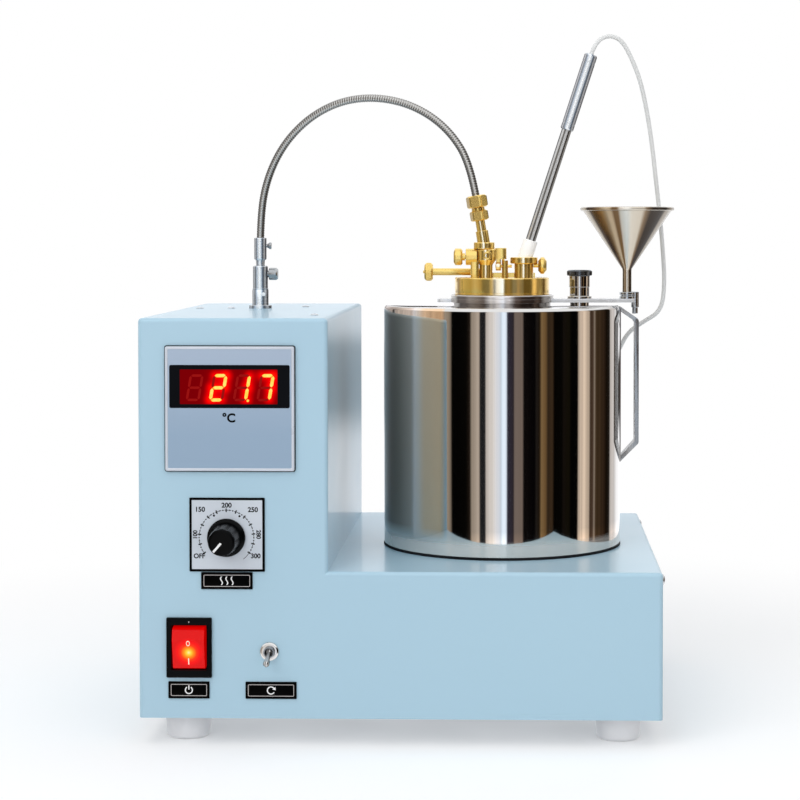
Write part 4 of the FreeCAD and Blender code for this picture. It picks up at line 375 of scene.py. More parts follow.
def meshPiece(name, made, finish, matrix, edge=0, segments=2, rims=None, sharp=35):
    # Ends a mesh made by hand: rounds its rims, gives it its finish and its place
    if edge:
        bmesh.ops.bevel(made, geom=rims, offset=edge, segments=segments, profile=0.5, affect="EDGES")
    mesh = bpy.data.meshes.new(name)
    made.to_mesh(mesh)
    made.free()
    mesh.materials.append(finishes[finish])
    return settled(shown(name, mesh), matrix, sharp)


def slab(name, outline, low, high, finish, place=(0, 0, 0), turn="up", edge=0, segments=2, ease=5):
    points = eased(outline, True, ease)
    made = bmesh.new()
    floor, roof = [[made.verts.new((x, y, level)) for x, y in points] for level in (low, high)]
    made.faces.new(floor[::-1])
    made.faces.new(roof)
    rims = belt(made, floor, roof)
    return meshPiece(name, made, finish, seat(place, turn), edge, segments, rims)


def frameSlab(name, outer, inner, low, high, finish, place=(0, 0, 0), turn="front", edge=0, segments=2):
    # A slab with a hole, whose two outlines have the same corners
    around, within = eased(outer), eased(inner)
    made = bmesh.new()
    loops = [[made.verts.new((x, y, level)) for x, y in points]
             for points, level in ((around, low), (around, high), (within, high), (within, low))]
    rims = []
    for one, other in zip(loops, loops[1:] + loops[:1]):
        rims += belt(made, one, other)
    return meshPiece(name, made, finish, seat(place, turn), edge, segments, list(set(rims)))


def reseat(piece, matrix=Matrix.Identity(4)):
    # Takes a piece from its first seat back to plain millimetres, and on by the matrix
    piece.data.transform(matrix @ seat((0, 0, 0)).inverted())
    return piece


def ringOf(piece, finish, place, turn, count, first=0.0, step=None):
    # Copies of a piece round the axis of a place
    sizes = {"Count": count, "First": first, "Step": 360 / count if step is None else step, "Finish": finish}
    return settled(grown(reseat(piece), roundTree, sizes), seat(place, turn))


def knurl(name, radius, low, high, half, count, finish, place, turn="up"):
    # The ridges of a knurled edge
    ridge = slab(name, [(radius - 0.1, -half), (radius + half * 0.7, 0), (radius - 0.1, half)], low, high,
                 finish)
    return ringOf(ridge, finish, place, turn, count)


def tubeOn(name, line, finish, radius, rings, sides, ridge=0.0, pitch=1000.0):
    # A tube along a line, with its sizes in millimetres
    mesh = bpy.data.meshes.new(name)
    mesh.from_pydata(line, [(i, i + 1) for i in range(len(line) - 1)], [])
    piece = grown(shown(name, mesh), tubeTree, {
        "Rings": rings, "Sides": sides, "Radius": radius / 1000, "Ridge": ridge / 1000, "Pitch": pitch / 1000,
        "Finish": finish,
    })
    return settled(piece, Matrix.Identity(4), 80)


def lettering(name, words, height, finish, place, weight, spin=0.0, depth=0.08):
    # Words or figures as a thin plate, centred on their place
    curve = bpy.data.curves.new(name, "FONT")
    curve.body = words
    curve.extrude = depth / 2
    curve.offset = weight
    curve.resolution_u = 6
    text = shown(name, curve)
    mesh = copyOfResult(text)
    bpy.data.objects.remove(text)
    low = Vector([min(v.co[i] for v in mesh.vertices) for i in range(3)])
    high = Vector([max(v.co[i] for v in mesh.vertices) for i in range(3)])
    size = high - low
    scale = height / size.y
    mesh.transform(Matrix.Diagonal((scale, scale, depth / size.z, 1)) @ Matrix.Translation(-(low + high) / 2))
    mesh.transform(turning(spin, "Z"))
    mesh.materials.clear()
    mesh.materials.append(finishes[finish])
    return settled(shown(name, mesh), seat(place, "front"))


def gathered(name, pieces):
    # Joins pieces into one, keeping each one's finish
    with bpy.context.temp_override(active_object=pieces[0], selected_editable_objects=pieces):
        bpy.ops.object.join()
    pieces[0].name = name
    pieces[0].data.name = name
    return pieces[0]


def cutBy(piece, cutters):
    # Takes the cutters out of a piece and removes them
    for cutter in cutters:
        modifier = piece.modifiers.new("cut", "BOOLEAN")
        modifier.operation = "DIFFERENCE"
        modifier.solver = "EXACT"
        modifier.object = cutter
    mesh = copyOfResult(piece)
    piece.modifiers.clear()
    piece.data = mesh
    for cutter in cutters:
        bpy.data.objects.remove(cutter)
    mesh.set_sharp_from_angle(angle=math.radians(35))
    return piece


def fit(piece, body, *stands, slot=None):
    # Lets a piece ride on its body, in the stead of its CAD nodes
    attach(piece, body)
    if stands:
        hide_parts(*stands)
    return piece


# Finishes


def tint(red, green, blue):
    def straight(value):
        value /= 255
        return value / 12.92 if value <= 0.04045 else ((value + 0.055) / 1.055) ** 2.4
    return (straight(red), straight(green), straight(blue), 1)


def newFinish(name, colour, rough, metal=0.0, sockets=None):
    material = bpy.data.materials.new(name)
    material.use_nodes = True
    shader = material.node_tree.nodes["Principled BSDF"]
    shader.inputs["Base Color"].default_value = tint(*colour)
    shader.inputs["Roughness"].default_value = rough
    shader.inputs["Metallic"].default_value = metal
    for socket, value in (sockets or {}).items():
        shader.inputs[socket].default_value = value
    return material, material.node_tree, shader.inputs


def gleam(level):
    return {"Specular IOR Level": level}


def surface(tree, source="Object"):
    return addNode(tree, "ShaderNodeTexCoord").outputs[source]


def cloud(tree, scale, detail=3.0, stretch=(1, 1, 1), source="Object", rough=0.5):
    where = surface(tree, source)
    spread = addNode(tree, "ShaderNodeMapping", {"Vector": where, "Scale": stretch})
    return addNode(tree, "ShaderNodeTexNoise",
                   {"Vector": spread, "Scale": scale, "Detail": detail, "Roughness": rough})


def between(tree, share, low, high, start=0.3, end=0.7):
    return addNode(tree, "ShaderNodeMapRange", {
        "Value": share, "From Min": start, "From Max": end, "To Min": low, "To Max": high,
    })


def blended(tree, share, one, other):
    return addNode(tree, "ShaderNodeMix", {0: share, 6: one, 7: other}, data_type="RGBA").outputs[2]


def shaded(tree, socket, share, dark, light):
    link(tree, blended(tree, between(tree, share, 0, 1), tint(*dark), tint(*light)), socket)


def bumped(tree, sockets, height, distance, strength=1.0, under=None):
    settings = {"Height": height, "Distance": distance, "Strength": strength}
    if under:
        settings["Normal"] = under
    bump = addNode(tree, "ShaderNodeBump", settings)
    tree.links.new(bump.outputs[0], sockets["Normal"])
    return bump


def link(tree, output, socket):
    tree.links.new(output.outputs[0] if isinstance(output, bpy.types.Node) else output, socket)


def toned(tree, share, stops):
    # A colour ramp, as its colour
    ramp = addNode(tree, "ShaderNodeValToRGB", {"Fac": share})
    while len(ramp.color_ramp.elements) < len(stops):
        ramp.color_ramp.elements.new(1)
    for element, (position, colour) in zip(ramp.color_ramp.elements, stops):
        element.position = position
        element.color = tint(*colour)
    return ramp.outputs[0]


def lookRound(tree, parts):
    # The way a direction looks, in radians from the front towards the right
    return sums(tree, "ARCTAN2", parts["X"], sums(tree, "MULTIPLY", parts["Y"], -1.0))


def wholeTurn(tree, angle, stops):
    # Stops in degrees from the back round to the back: the share of the turn and the colour there
    share = sums(tree, "MULTIPLY_ADD", angle, 1 / (2 * math.pi), 0.5)
    return share, toned(tree, share, [((degrees + 180) / 360, colour) for degrees, colour in stops])


def makePaint():
    # Gloss enamel, sprayed: a little uneven in tone, with faint orange peel
    material, tree, sockets = newFinish("cabinetPaint", (178, 211, 229), 0.36, 0, {
        "Coat Weight": 0.28, "Coat Roughness": 0.07, "Specular IOR Level": 0.3,
    })
    shaded(tree, sockets["Base Color"], cloud(tree, 6, 1), (177, 210, 228), (180, 213, 230))
    link(tree, between(tree, cloud(tree, 30, 2), 0.32, 0.36), sockets["Roughness"])
    bumped(tree, sockets, cloud(tree, 260, 1), 0.00002, 0.1)
    return material


# The bath's steel colour and its painted light: painted shade and painted reflection by direction round its
# axis, in degrees from the front, a painted paler band where the tower is reflected, and a painted pale
# colour at its foot
bathSteelAndPaintedLight = {
    "axis": (196.8, 109.9, 0), "steel": (203, 201, 199), "foot": (236, 228, 220),
    "paintedPaleBand": (-47, -45, -30, -27), "top": (0.2366, 0.2371), "wall": (0.106, 0.112), "hem": (0.1035, 0.1065),
    "round": [
        (-180, (203, 201, 199)), (-104, (203, 201, 199)), (-92, (132, 116, 106)), (-66, (146, 126, 112)),
        (-56, (180, 162, 148)), (-47, (218, 196, 182)), (-45.5, (236, 226, 222)), (-42, (238, 222, 208)),
        (-39, (238, 206, 174)), (-28.5, (238, 200, 162)), (-27, (206, 203, 200)), (180, (203, 201, 199)),
    ],
}


def makeBathSteel():
    # Mirror steel of the bath with painted light in its colour: painted shade where the tower stands close, a
    # painted paler reflection of the tower beside it, and a painted pale band at its foot; the top plate
    # keeps the plain steel and isn't quite flat
    steel = bathSteelAndPaintedLight["steel"]
    material, tree, sockets = newFinish("bathSteel", steel, 0.05, 1)
    away = addNode(tree, "ShaderNodeVectorMath", {0: surface(tree), 1: spot(*bathSteelAndPaintedLight["axis"])},
                   operation="SUBTRACT")
    parts = addNode(tree, "ShaderNodeSeparateXYZ", {0: away}).outputs
    # Painted shade and painted reflection of the tower, by the direction round the bath
    share, colour = wholeTurn(tree, lookRound(tree, parts), bathSteelAndPaintedLight["round"])
    above = between(tree, parts["Z"], 0, 1, *bathSteelAndPaintedLight["top"])
    # A painted pale band at the foot of the wall
    wall = blended(tree, between(tree, parts["Z"], 1, 0, *bathSteelAndPaintedLight["wall"]), colour, tint(*bathSteelAndPaintedLight["foot"]))
    link(tree, blended(tree, above, wall, tint(*steel)), sockets["Base Color"])
    # Less metal and more pale colour: a painted paler reflection beside the tower and, at the hem, part of
    # the painted pale foot
    start, full, fall, end = [(180 + degrees) / 360 for degrees in bathSteelAndPaintedLight["paintedPaleBand"]]
    paintedPaleBand = sums(tree, "MULTIPLY", between(tree, share, 0, 0.15, start, full),
                 between(tree, share, 1, 0, fall, end))
    foot = between(tree, parts["Z"], 0.32, 0, *bathSteelAndPaintedLight["hem"])
    paintedPaleShare = sums(tree, "MULTIPLY", sums(tree, "MAXIMUM", paintedPaleBand, foot), sums(tree, "SUBTRACT", 1.0, above))
    link(tree, sums(tree, "SUBTRACT", 1.0, paintedPaleShare), sockets["Metallic"])
    fine = bumped(tree, sockets, cloud(tree, 1, 3, (420, 2, 1), "UV", 0.6), 0.00001, 0.35)
    waves = sums(tree, "MULTIPLY", cloud(tree, 26, 1, (1, 0.45, 1)), above)
    bumped(tree, sockets, waves, 0.0007, 1.0, fine)
    return material


def makeTurned(name, dark, light, rough, spread=0.12, lines=260, depth=0.00004):
    # Metal turned on a lathe: fine lines run round it, which the piece's own UV map follows
    material, tree, sockets = newFinish(name, light, rough, 1)
    wire = cloud(tree, 1, 4, (lines, 3, 1), "UV", 0.65)
    broad = cloud(tree, 40, 2)
    shaded(tree, sockets["Base Color"], broad, dark, light)
    link(tree, between(tree, wire, rough - spread / 2, rough + spread / 2), sockets["Roughness"])
    bumped(tree, sockets, wire, depth, 0.5)
    return material


def makePaintedReflections(name, stops, rough, metal, lines=160):
    # Polished metal with painted reflections: its colour changes with the way its surface faces, in degrees
    # from the front, in light and dark reflected bands with a painted highlight; level faces take the first
    # colour
    material, tree, sockets = newFinish(name, stops[0][1], rough, metal)
    look = addNode(tree, "ShaderNodeSeparateXYZ", {0: surface(tree, "Normal")}).outputs
    colour = wholeTurn(tree, lookRound(tree, look), stops)[1]
    level = between(tree, sums(tree, "ABSOLUTE", look["Z"]), 0, 1, 0.55, 0.9)
    link(tree, blended(tree, level, colour, tint(*stops[0][1])), sockets["Base Color"])
    wire = cloud(tree, 1, 3, (lines, 3, 1), "UV", 0.6)
    link(tree, between(tree, wire, rough - 0.02, rough + 0.03), sockets["Roughness"])
    return material


def makeBrushed(name, dark, light, rough, stretch=(1, 1, 60), scale=40, depth=0.00005):
    # Metal with a grain, on the object's own axes
    material, tree, sockets = newFinish(name, light, rough, 1)
    grain = cloud(tree, scale, 4, stretch)
    shaded(tree, sockets["Base Color"], grain, dark, light)
    link(tree, between(tree, cloud(tree, 90, 3), rough - 0.05, rough + 0.08), sockets["Roughness"])
    bumped(tree, sockets, grain, depth, 0.35)
    return material


def makeSmooth(name, dark, light, rough, spread=0.1, grain=700, depth=0.00003, metal=0.0, sockets=None):
    # Plastic, rubber or cast metal: an even colour with a fine skin
    material, tree, shader = newFinish(name, light, rough, metal, sockets)
    shaded(tree, shader["Base Color"], cloud(tree, 45, 3), dark, light)
    link(tree, between(tree, cloud(tree, 120, 3), rough - spread / 2, rough + spread / 2),
         shader["Roughness"])
    bumped(tree, shader, cloud(tree, grain, 2), depth, 0.4)
    return material


def lampColour(tree, sockets, colour, strength):
    link(tree, colour, sockets["Emission Color"])
    sockets["Emission Strength"].default_value = strength


def makeGlow():
    # The lit filter behind the digits, whose colour follows the piece's own attribute
    material, tree, sockets = newFinish("redFilter", (10, 0, 0), 0.4, 0, gleam(0.0))
    near = addNode(tree, "ShaderNodeAttribute", attribute_name="glow").outputs["Fac"]
    lampColour(tree, sockets, toned(tree, near, [
        (0, (122, 0, 6)), (0.15, (140, 0, 5)), (0.4, (206, 0, 5)), (0.65, (255, 4, 4)), (0.85, (255, 26, 6)),
        (1, (255, 80, 16)),
    ]), 1.0)
    return material


def makeSegment(name, middle, rim):
    # A segment of a digit, lit or not
    material, tree, sockets = newFinish(name, (30, 4, 2), 0.4, 0, gleam(0.04))
    shade = blended(tree, between(tree, cloud(tree, 500, 1), 0, 1), tint(*rim), tint(*middle))
    lampColour(tree, sockets, shade, 1.0)
    return material


def makeMeterFace():
    # Silver-blue foil, a little lighter towards its top
    material, tree, sockets = newFinish("meterFace", (152, 174, 198), 0.42, 0, gleam(0.3))
    height = addNode(tree, "ShaderNodeSeparateXYZ", {0: surface(tree)}).outputs["Z"]
    shade = blended(tree, between(tree, height, 0, 1, 0.17, 0.215), tint(152, 175, 198), tint(172, 188, 208))
    link(tree, shade, sockets["Base Color"])
    bumped(tree, sockets, cloud(tree, 900, 2), 0.00002, 0.3)
    return material


def makeRockerRed():
    # Translucent red, lit by a small lamp behind its middle
    lamp = {"place": (27.85, -3.9, 52.05), "reach": 0.0085, "strength": 0.86}
    material, tree, sockets = newFinish("rockerRed", (168, 0, 0), 0.3, 0, gleam(0.2))
    away = addNode(tree, "ShaderNodeVectorMath", {0: surface(tree), 1: spot(*lamp["place"])},
                   operation="DISTANCE")
    near = between(tree, away.outputs["Value"], 0, 1, 0.0, lamp["reach"])
    lampColour(tree, sockets, toned(tree, near, [
        (0, (255, 255, 190)), (0.12, (255, 236, 70)), (0.3, (255, 160, 8)), (0.5, (255, 60, 0)),
        (0.7, (225, 0, 0)), (1, (185, 0, 0)),
    ]), lamp["strength"])
    bumped(tree, sockets, cloud(tree, 600, 2), 0.00003, 0.3)
    return material


dull = gleam(0.06)
# Painted reflections: light and dark reflected bands and painted highlights for polished metal, by the way a
# surface faces, in degrees from the front
paintedReflections = {
    "steel": [
        (-180, (196, 200, 204)), (-115, (188, 190, 194)), (-92, (70, 68, 70)), (-62, (84, 82, 84)),
        (-55, (196, 196, 200)), (-46, (190, 190, 194)), (-38, (110, 112, 116)), (-30, (140, 148, 156)),
        (-22, (196, 208, 226)), (-12, (250, 253, 255)), (10, (252, 254, 255)), (16, (196, 212, 228)),
        (24, (96, 106, 122)), (32, (120, 124, 130)), (40, (190, 194, 198)), (54, (186, 186, 190)),
        (60, (80, 78, 80)), (92, (70, 68, 70)), (115, (188, 190, 194)), (180, (196, 200, 204)),
    ],
    "rod": [
        (-180, (188, 188, 188)), (-115, (176, 176, 176)), (-92, (40, 40, 40)), (-55, (60, 58, 56)),
        (-48, (190, 188, 186)), (-30, (205, 204, 202)), (-20, (120, 116, 112)), (-10, (92, 88, 84)),
        (-2, (170, 168, 164)), (8, (232, 232, 232)), (18, (236, 236, 236)), (26, (70, 66, 62)),
        (38, (52, 48, 46)), (50, (178, 176, 172)), (62, (160, 158, 154)), (75, (52, 50, 48)),
        (92, (52, 50, 48)), (115, (176, 176, 176)), (180, (188, 188, 188)),
    ],
    "spun": [
        (-180, (190, 182, 170)), (-90, (200, 194, 184)), (-66, (180, 168, 150)), (-60, (66, 46, 28)),
        (-50, (74, 52, 32)), (-40, (140, 112, 78)), (-30, (206, 186, 156)), (-25, (202, 180, 148)),
        (-21, (118, 88, 54)), (-15, (128, 98, 62)), (-12, (222, 212, 198)), (-4, (236, 230, 220)),
        (4, (214, 204, 188)), (17, (206, 194, 176)), (22, (134, 110, 84)), (30, (46, 32, 20)),
        (52, (40, 28, 18)), (58, (160, 148, 134)), (90, (200, 194, 184)), (180, (190, 182, 170)),
    ],
    "neck": [
        (-180, (206, 204, 202)), (-90, (206, 203, 200)), (-64, (192, 188, 184)), (-58, (96, 86, 80)),
        (-45, (108, 96, 90)), (-38, (150, 140, 132)), (-20, (130, 116, 106)), (-13, (228, 224, 222)),
        (8, (246, 242, 242)), (15, (122, 106, 100)), (23, (72, 58, 52)), (48, (60, 48, 42)),
        (56, (184, 180, 176)), (90, (206, 203, 200)), (180, (206, 204, 202)),
    ],
    "wound": [
        (-180, (150, 146, 142)), (-115, (134, 130, 126)), (-92, (58, 54, 52)), (-45, (84, 80, 76)),
        (-22, (132, 128, 124)), (-5, (204, 202, 198)), (8, (196, 194, 190)), (25, (104, 100, 96)),
        (45, (62, 58, 55)), (70, (120, 116, 110)), (92, (66, 62, 58)), (115, (134, 130, 126)),
        (180, (150, 146, 142)),
    ],
    "brass": [
        (-180, (240, 206, 122)), (-90, (214, 172, 88)), (-74, (248, 222, 160)), (-66, (150, 112, 44)),
        (-58, (212, 170, 74)), (-40, (210, 170, 76)), (-34, (244, 208, 118)), (-26, (224, 186, 92)),
        (-12, (240, 210, 128)), (-8, (255, 248, 224)), (2, (255, 248, 224)), (3.5, (206, 166, 76)),
        (12, (214, 176, 88)), (14, (252, 222, 146)), (26, (246, 212, 130)), (28, (196, 152, 66)),
        (36, (204, 162, 72)), (41, (252, 216, 122)), (56, (248, 210, 116)), (60, (150, 112, 44)),
        (66, (240, 206, 124)), (90, (250, 224, 160)), (180, (240, 206, 122)),
    ],
}
# The brass bands without their painted white highlight
paintedReflections["brassFlat"] = [(degrees, colour if colour[2] < 200 else (240, 208, 122))
                        for degrees, colour in paintedReflections["brass"]]
# Finishes built from the lists of reflected bands carry painted reflections and painted highlights in their
# colour
finishes = {
    "paint": makePaint(),
    "bath": makeBathSteel(),
    "zinc": makeBrushed("zincSteel", (150, 155, 160), (190, 194, 198), 0.42),
    "mirror": makeTurned("polishedSteel", (198, 195, 191), (210, 207, 203), 0.08, 0.04, 300, 0.000005),
    "warmPaintedReflection": makePaintedReflections("spunSteel", paintedReflections["spun"], 0.2, 0.5),
    "plate": makeSmooth("plateSteel", (228, 230, 233), (240, 241, 244), 0.25, 0.06, 300, 0.00001, 0.35),
    "turnedSteel": makeTurned("turnedSteel", (186, 190, 194), (210, 213, 216), 0.2, 0.08, 200, 0.00001),
    "satin": makeBrushed("satinSteel", (158, 159, 160), (182, 183, 184), 0.26, (60, 60, 1), 40, 0.00002),
    "plainSteel": makeSmooth("plainSteel", (196, 197, 198), (216, 217, 218), 0.26, 0.1, 300, 0.00002, 1),
    "shaftSteel": makePaintedReflections("shaftSteel", paintedReflections["wound"], 0.3, 0.5, 900),
    "brass": makePaintedReflections("brassTurned", paintedReflections["brass"], 0.14, 0.72),
    "brassPlain": makePaintedReflections("brassPlain", paintedReflections["brassFlat"], 0.16, 0.76, 40),
    "chrome": makeSmooth("chromePlate", (190, 188, 184), (212, 210, 207), 0.12, 0.06, 200, 0.00001, 1),
    "darkChrome": makeTurned("darkChrome", (94, 98, 102), (126, 130, 134), 0.24, 0.08, 160, 0.00001),
    "aluminium": makeTurned("aluminium", (196, 201, 206), (218, 221, 225), 0.27, 0.08, 200, 0.00001),
    "neck": makePaintedReflections("neckSteel", paintedReflections["neck"], 0.16, 0.4, 300),
    "bright": makePaintedReflections("brightSteel", paintedReflections["steel"], 0.26, 0.35),
    "rod": makePaintedReflections("rodSteel", paintedReflections["rod"], 0.22, 0.35),
    "dialFace": makeSmooth("dialFace", (206, 214, 223), (214, 221, 230), 0.32, 0.06, 900, 0.00002, 0.15),
    "meterFace": makeMeterFace(),
    "meterEdge": makeSmooth("meterEdge", (206, 212, 222), (216, 221, 230), 0.3, 0.06, 900, 0.00002, 0.1),
    "windowBlack": makeSmooth("windowBlack", (3, 5, 10), (6, 8, 14), 0.2, 0.04, 900, 0.00001, 0, dull),
    "black": makeSmooth("blackPlastic", (5, 6, 8), (10, 11, 13), 0.34, 0.12, 800, 0.00004, 0, dull),
    "gloss": makeSmooth("glossBlack", (3, 3, 4), (5, 5, 6), 0.2, 0.06, 500, 0.00003, 0, gleam(0.07)),
    "ink": makeSmooth("printInk", (6, 7, 9), (12, 13, 15), 0.5, 0.1, 700, 0.00003, 0, dull),
    "label": makeSmooth("labelBlack", (2, 2, 2), (4, 4, 4), 0.35, 0.08, 900, 0.00002, 0, gleam(0.03)),
    "labelWhite": makeSmooth("labelWhite", (240, 240, 240), (248, 248, 248), 0.45),
    "labelLine": makeSmooth("labelLine", (190, 184, 182), (206, 200, 198), 0.45),
    "rubber": makeSmooth("footRubber", (244, 245, 248), (252, 252, 254), 0.45, 0.12, 500, 0.00004),
    "gasket": makeSmooth("gasketRubber", (22, 22, 24), (34, 34, 36), 0.6, 0.1, 600, 0.00006, 0, dull),
    # The PTFE sleeve's faint white emission is a painted glow; the sleeve holds no lamp
    "ptfe": makeSmooth("whitePtfePaintedGlow", (250, 250, 249), (254, 254, 253), 0.38, 0.08, 500, 0.00002, 0,
                       {"Emission Color": (1, 1, 1, 1), "Emission Strength": 0.12}),
    "leadWhite": makeSmooth("leadWhite", (232, 233, 232), (238, 239, 238), 0.5, 0.04, 200, 0.000002, 0,
                            gleam(0.2)),
    "pin": makeSmooth("pinBrass", (196, 180, 132), (214, 198, 150), 0.28, 0.1, 300, 0.00003, 1),
    "rockerRed": makeRockerRed(),
    "rockerMark": makeSmooth("rockerMark", (250, 190, 150), (255, 214, 184), 0.4,
                             sockets={"Emission Strength": 0.35}),
    "redFilter": makeGlow(),
    "segmentLit": makeSegment("segmentLit", (255, 238, 120), (255, 214, 70)),
    "segmentFaint": makeSegment("segmentFaint", (150, 12, 10), (146, 8, 8)),
}


def paintNodes():
    # CAD nodes that stay as they are get these finishes
    plan = {
        "paint": "casing rear_panel",
        "zinc": "base_plate motor_bracket motor_body regulator_body motor_switch_body bath_bottom",
        "black": "indicator_case mains_inlet",
        "plainSteel": "motor_shaft regulator_spindle air_chamber heater_element stirrer",
        "brassPlain": "oil_cup shutter slide_guides jet_post",
    }
    for finish, names in plan.items():
        for name in names.split():
            for slot in nodes[name].material_slots:
                slot.material = finishes[finish]


paintNodes()
print("finishes:", len(finishes))

# Cabinet: feet, screws, inlet and gland

bath = {
    "x": 196.8, "y": 109.9, "radius": 70.0, "seat": 97.1, "top": 237.2, "edge": 2.2, "wall": 1.2,
    "neck": 28.8, "steps": 288,
}
cabinet = {"width": 285.0, "depth": 238.0, "towerWidth": 103.2, "baseTop": 95.7, "towerTop": 233.5,
           "back": 239.2}


def makeFeet():
    foot = {"height": 15.5, "radius": 13.0, "tip": 12.0, "edge": 2.5, "recess": 5.0, "depth": 6.0,
            "setIn": (23.0, 26.0)}
    height, radius, tip, edge, recess, depth, (across, deep) = foot.values()
    profile = [(0, depth), (recess, depth), (recess, 0, 0.6), (tip, 0, edge), (radius, height, 0.5),
               (0, height)]
    feet = []
    for x in (across, cabinet["width"] - across):
        for y in (deep, cabinet["depth"] - deep):
            feet.append(turned("foot", profile, "rubber", (x, y, 0)))
    return fit(gathered("rubberFeet", feet), "instrument", "feet", slot="foot_rubber")


def screwSpots(name, places):
    # Points that carry the direction each screw looks in
    mesh = bpy.data.meshes.new(name)
    mesh.from_pydata([spot(*place) for place, aim in places], [], [])
    aims = mesh.attributes.new("aim", "FLOAT_VECTOR", "POINT")
    for item, (place, aim) in zip(aims.data, places):
        item.vector = aim
    return shown(name, mesh)


def screwShape(name, radius, rise, length, shank):
    # A pan head with a cross recess
    small = Matrix.Scale(0.001, 4)
    head = turned(name, [(0, -length), (shank, -length, 0.2), (shank, 0), (radius, 0),
                         (radius, rise * 0.45, rise * 0.4),
                         (radius * 0.55, rise, 0.6), (0, rise)], "plainSteel", (0, 0, 0), steps=24, ease=3)
    bar = rectangle(-radius * 0.55, -radius * 0.1, radius * 0.55, radius * 0.1, 0.1)
    cutters = [reseat(slab("recess", bar, rise * 0.35, rise * 2, "plainSteel"), turning(turn, "Z") @ small)
               for turn in (0, 90)]
    return cutBy(reseat(head, small), cutters)


def makeScrews():
    width, back, base, tower = cabinet["width"], cabinet["back"], cabinet["baseTop"], cabinet["towerTop"]
    side, edge, floor = 90.2, 6.5, 15.5
    panels = [((x, y, side), (aim, 0, 0)) for x, aim in ((width, 1), (0, -1)) for y in (12, 226)]
    panels += [((x, back, z), (0, 1, 0)) for x, z in (
        (edge, floor + edge), (width - edge, floor + edge), (width - edge, base - edge), (edge, tower - edge),
        (cabinet["towerWidth"] - edge, tower - edge))]
    above = [((x, y, tower), (0, 0, 1)) for x, y in ((29.6, 151), (72.8, 177), (11, 147), (91.8, 43.5))]
    under = [((x, y, 6.0), (0, 0, -1)) for x in (23, 262) for y in (26, 212)]
    pieces = []
    for name, places, finish, *sizes in (
        ("screws", panels, "plainSteel", 3.2, 1.6, 5.5, 1.4),
        ("topScrews", above, "aluminium", 2.3, 0.9, 5.5, 1.2),
        ("footScrews", under, "plainSteel", 3.2, 1.6, 10, 1.4),
    ):
        spots = screwSpots("screwSpots", places)
        pieces.append(grown(screwShape(name, *sizes), spotTree, {"Spots": spots, "Finish": finish}))
        bpy.data.objects.remove(spots)
    stud = {"circle": 52, "radius": 5.4, "height": 5.0, "bore": 3.0, "z": 89.5}
    for angle in (math.radians(90), math.radians(210), math.radians(330)):
        place = (bath["x"] + stud["circle"] * math.cos(angle), bath["y"] + stud["circle"] * math.sin(angle),
                 stud["z"])
        pieces.append(hexNut("studNut", stud["radius"], stud["height"], stud["bore"], "zinc", place))
    return fit(gathered("screwsAndNuts", pieces), "instrument", "fasteners", slot="zinc_steel")


def hexNut(name, radius, height, bore, finish, place, turn="up", rim=0.0, spin=0, steps=72):
    # A hexagon nut with the round chamfer that leaves an arc on each flat
    flat = radius * math.cos(math.radians(30))
    seatRadius = flat * 0.93
    rows = []
    for index in range(steps):
        angle = 2 * math.pi * index / steps
        off = (angle - math.radians(spin) + math.pi / 6) % (math.pi / 3) - math.pi / 6
        reach = min(flat / math.cos(off), radius * 0.975)
        drop = (reach - seatRadius) * 0.85
        direction = Vector((math.cos(angle), math.sin(angle), 0))
        column = [(bore, 0.3), (bore + 0.3, 0), (seatRadius, 0), (reach, drop), (reach, height - drop),
                  (seatRadius, height)]
        if rim:
            column += [(rim, height), (rim, height + 1.5), (rim - 0.2, height + 1.7), (bore, height + 1.7)]
        else:
            column += [(bore + 0.3, height), (bore, height - 0.3)]
        rows.append([direction * r + Vector((0, 0, z)) for r, z in column])
    made = bmesh.new()
    verts = [[made.verts.new(point) for point in row] for row in rows]
    for row, following in zip(verts, verts[1:] + verts[:1]):
        belt(made, following, row)
    return meshPiece(name, made, finish, seat(place, turn), sharp=28)


def makeInlet():
    # Bright pins and a fuse drawer, on the inlet that the CAD gives
    inlet = {"x": 58.0, "face": 242.0, "wellDepth": 16.0, "pin": (2.1, 4.1, 13.0), "pitch": 7.0,
             "pinLow": 52.95, "sideDrop": 4.0, "drawer": 74}
    x, face = inlet["x"], inlet["face"]
    wide, tall, long = inlet["pin"]
    root = face - inlet["wellDepth"]
    pieces = []
    for step in (-1, 0, 1):
        left = x + step * inlet["pitch"] - wide / 2
        low = inlet["pinLow"] - inlet["sideDrop"] * abs(step)
        outline = rectangle(left, root, left + wide, root + long, 0.5)
        pieces.append(slab("inletPin", outline, low, low + tall, "pin", edge=0.2))
    drawer = slab("fuseDrawer", rectangle(x - 9.5, -6.5, x + 9.5, 6.5, 0.8), face - 0.2, face + 0.7, "black",
                  edge=0.25)
    notch = slab("drawerNotch", rectangle(x - 3, -8.6, x + 3, -6.8, 0.4), face - 0.2, face + 1.1, "black",
                 edge=0.2)
    pieces += [reseat(piece, seat((0, 0, inlet["drawer"]), "back")) for piece in (drawer, notch)]
    return fit(gathered("inletPins", pieces), "instrument")


def makeGland():
    gland = turned("leadGland", [(1.4, 0), (5.5, 0, 0.3), (5.5, 2.2, 0.3), (4.7, 2.6), (4.7, 5.6),
                                 (4.1, 8.0, 0.8), (1.4, 8.0)],
                   "black", (lead["end"][0], cabinet["back"], lead["end"][2]), "back")
    return fit(gland, "instrument", "lead_gland", slot="black_plastic")


makeFeet()
makeScrews()
makeInlet()
makeGland()
print("feet, screws, inlet and gland made")

# Temperature indicator

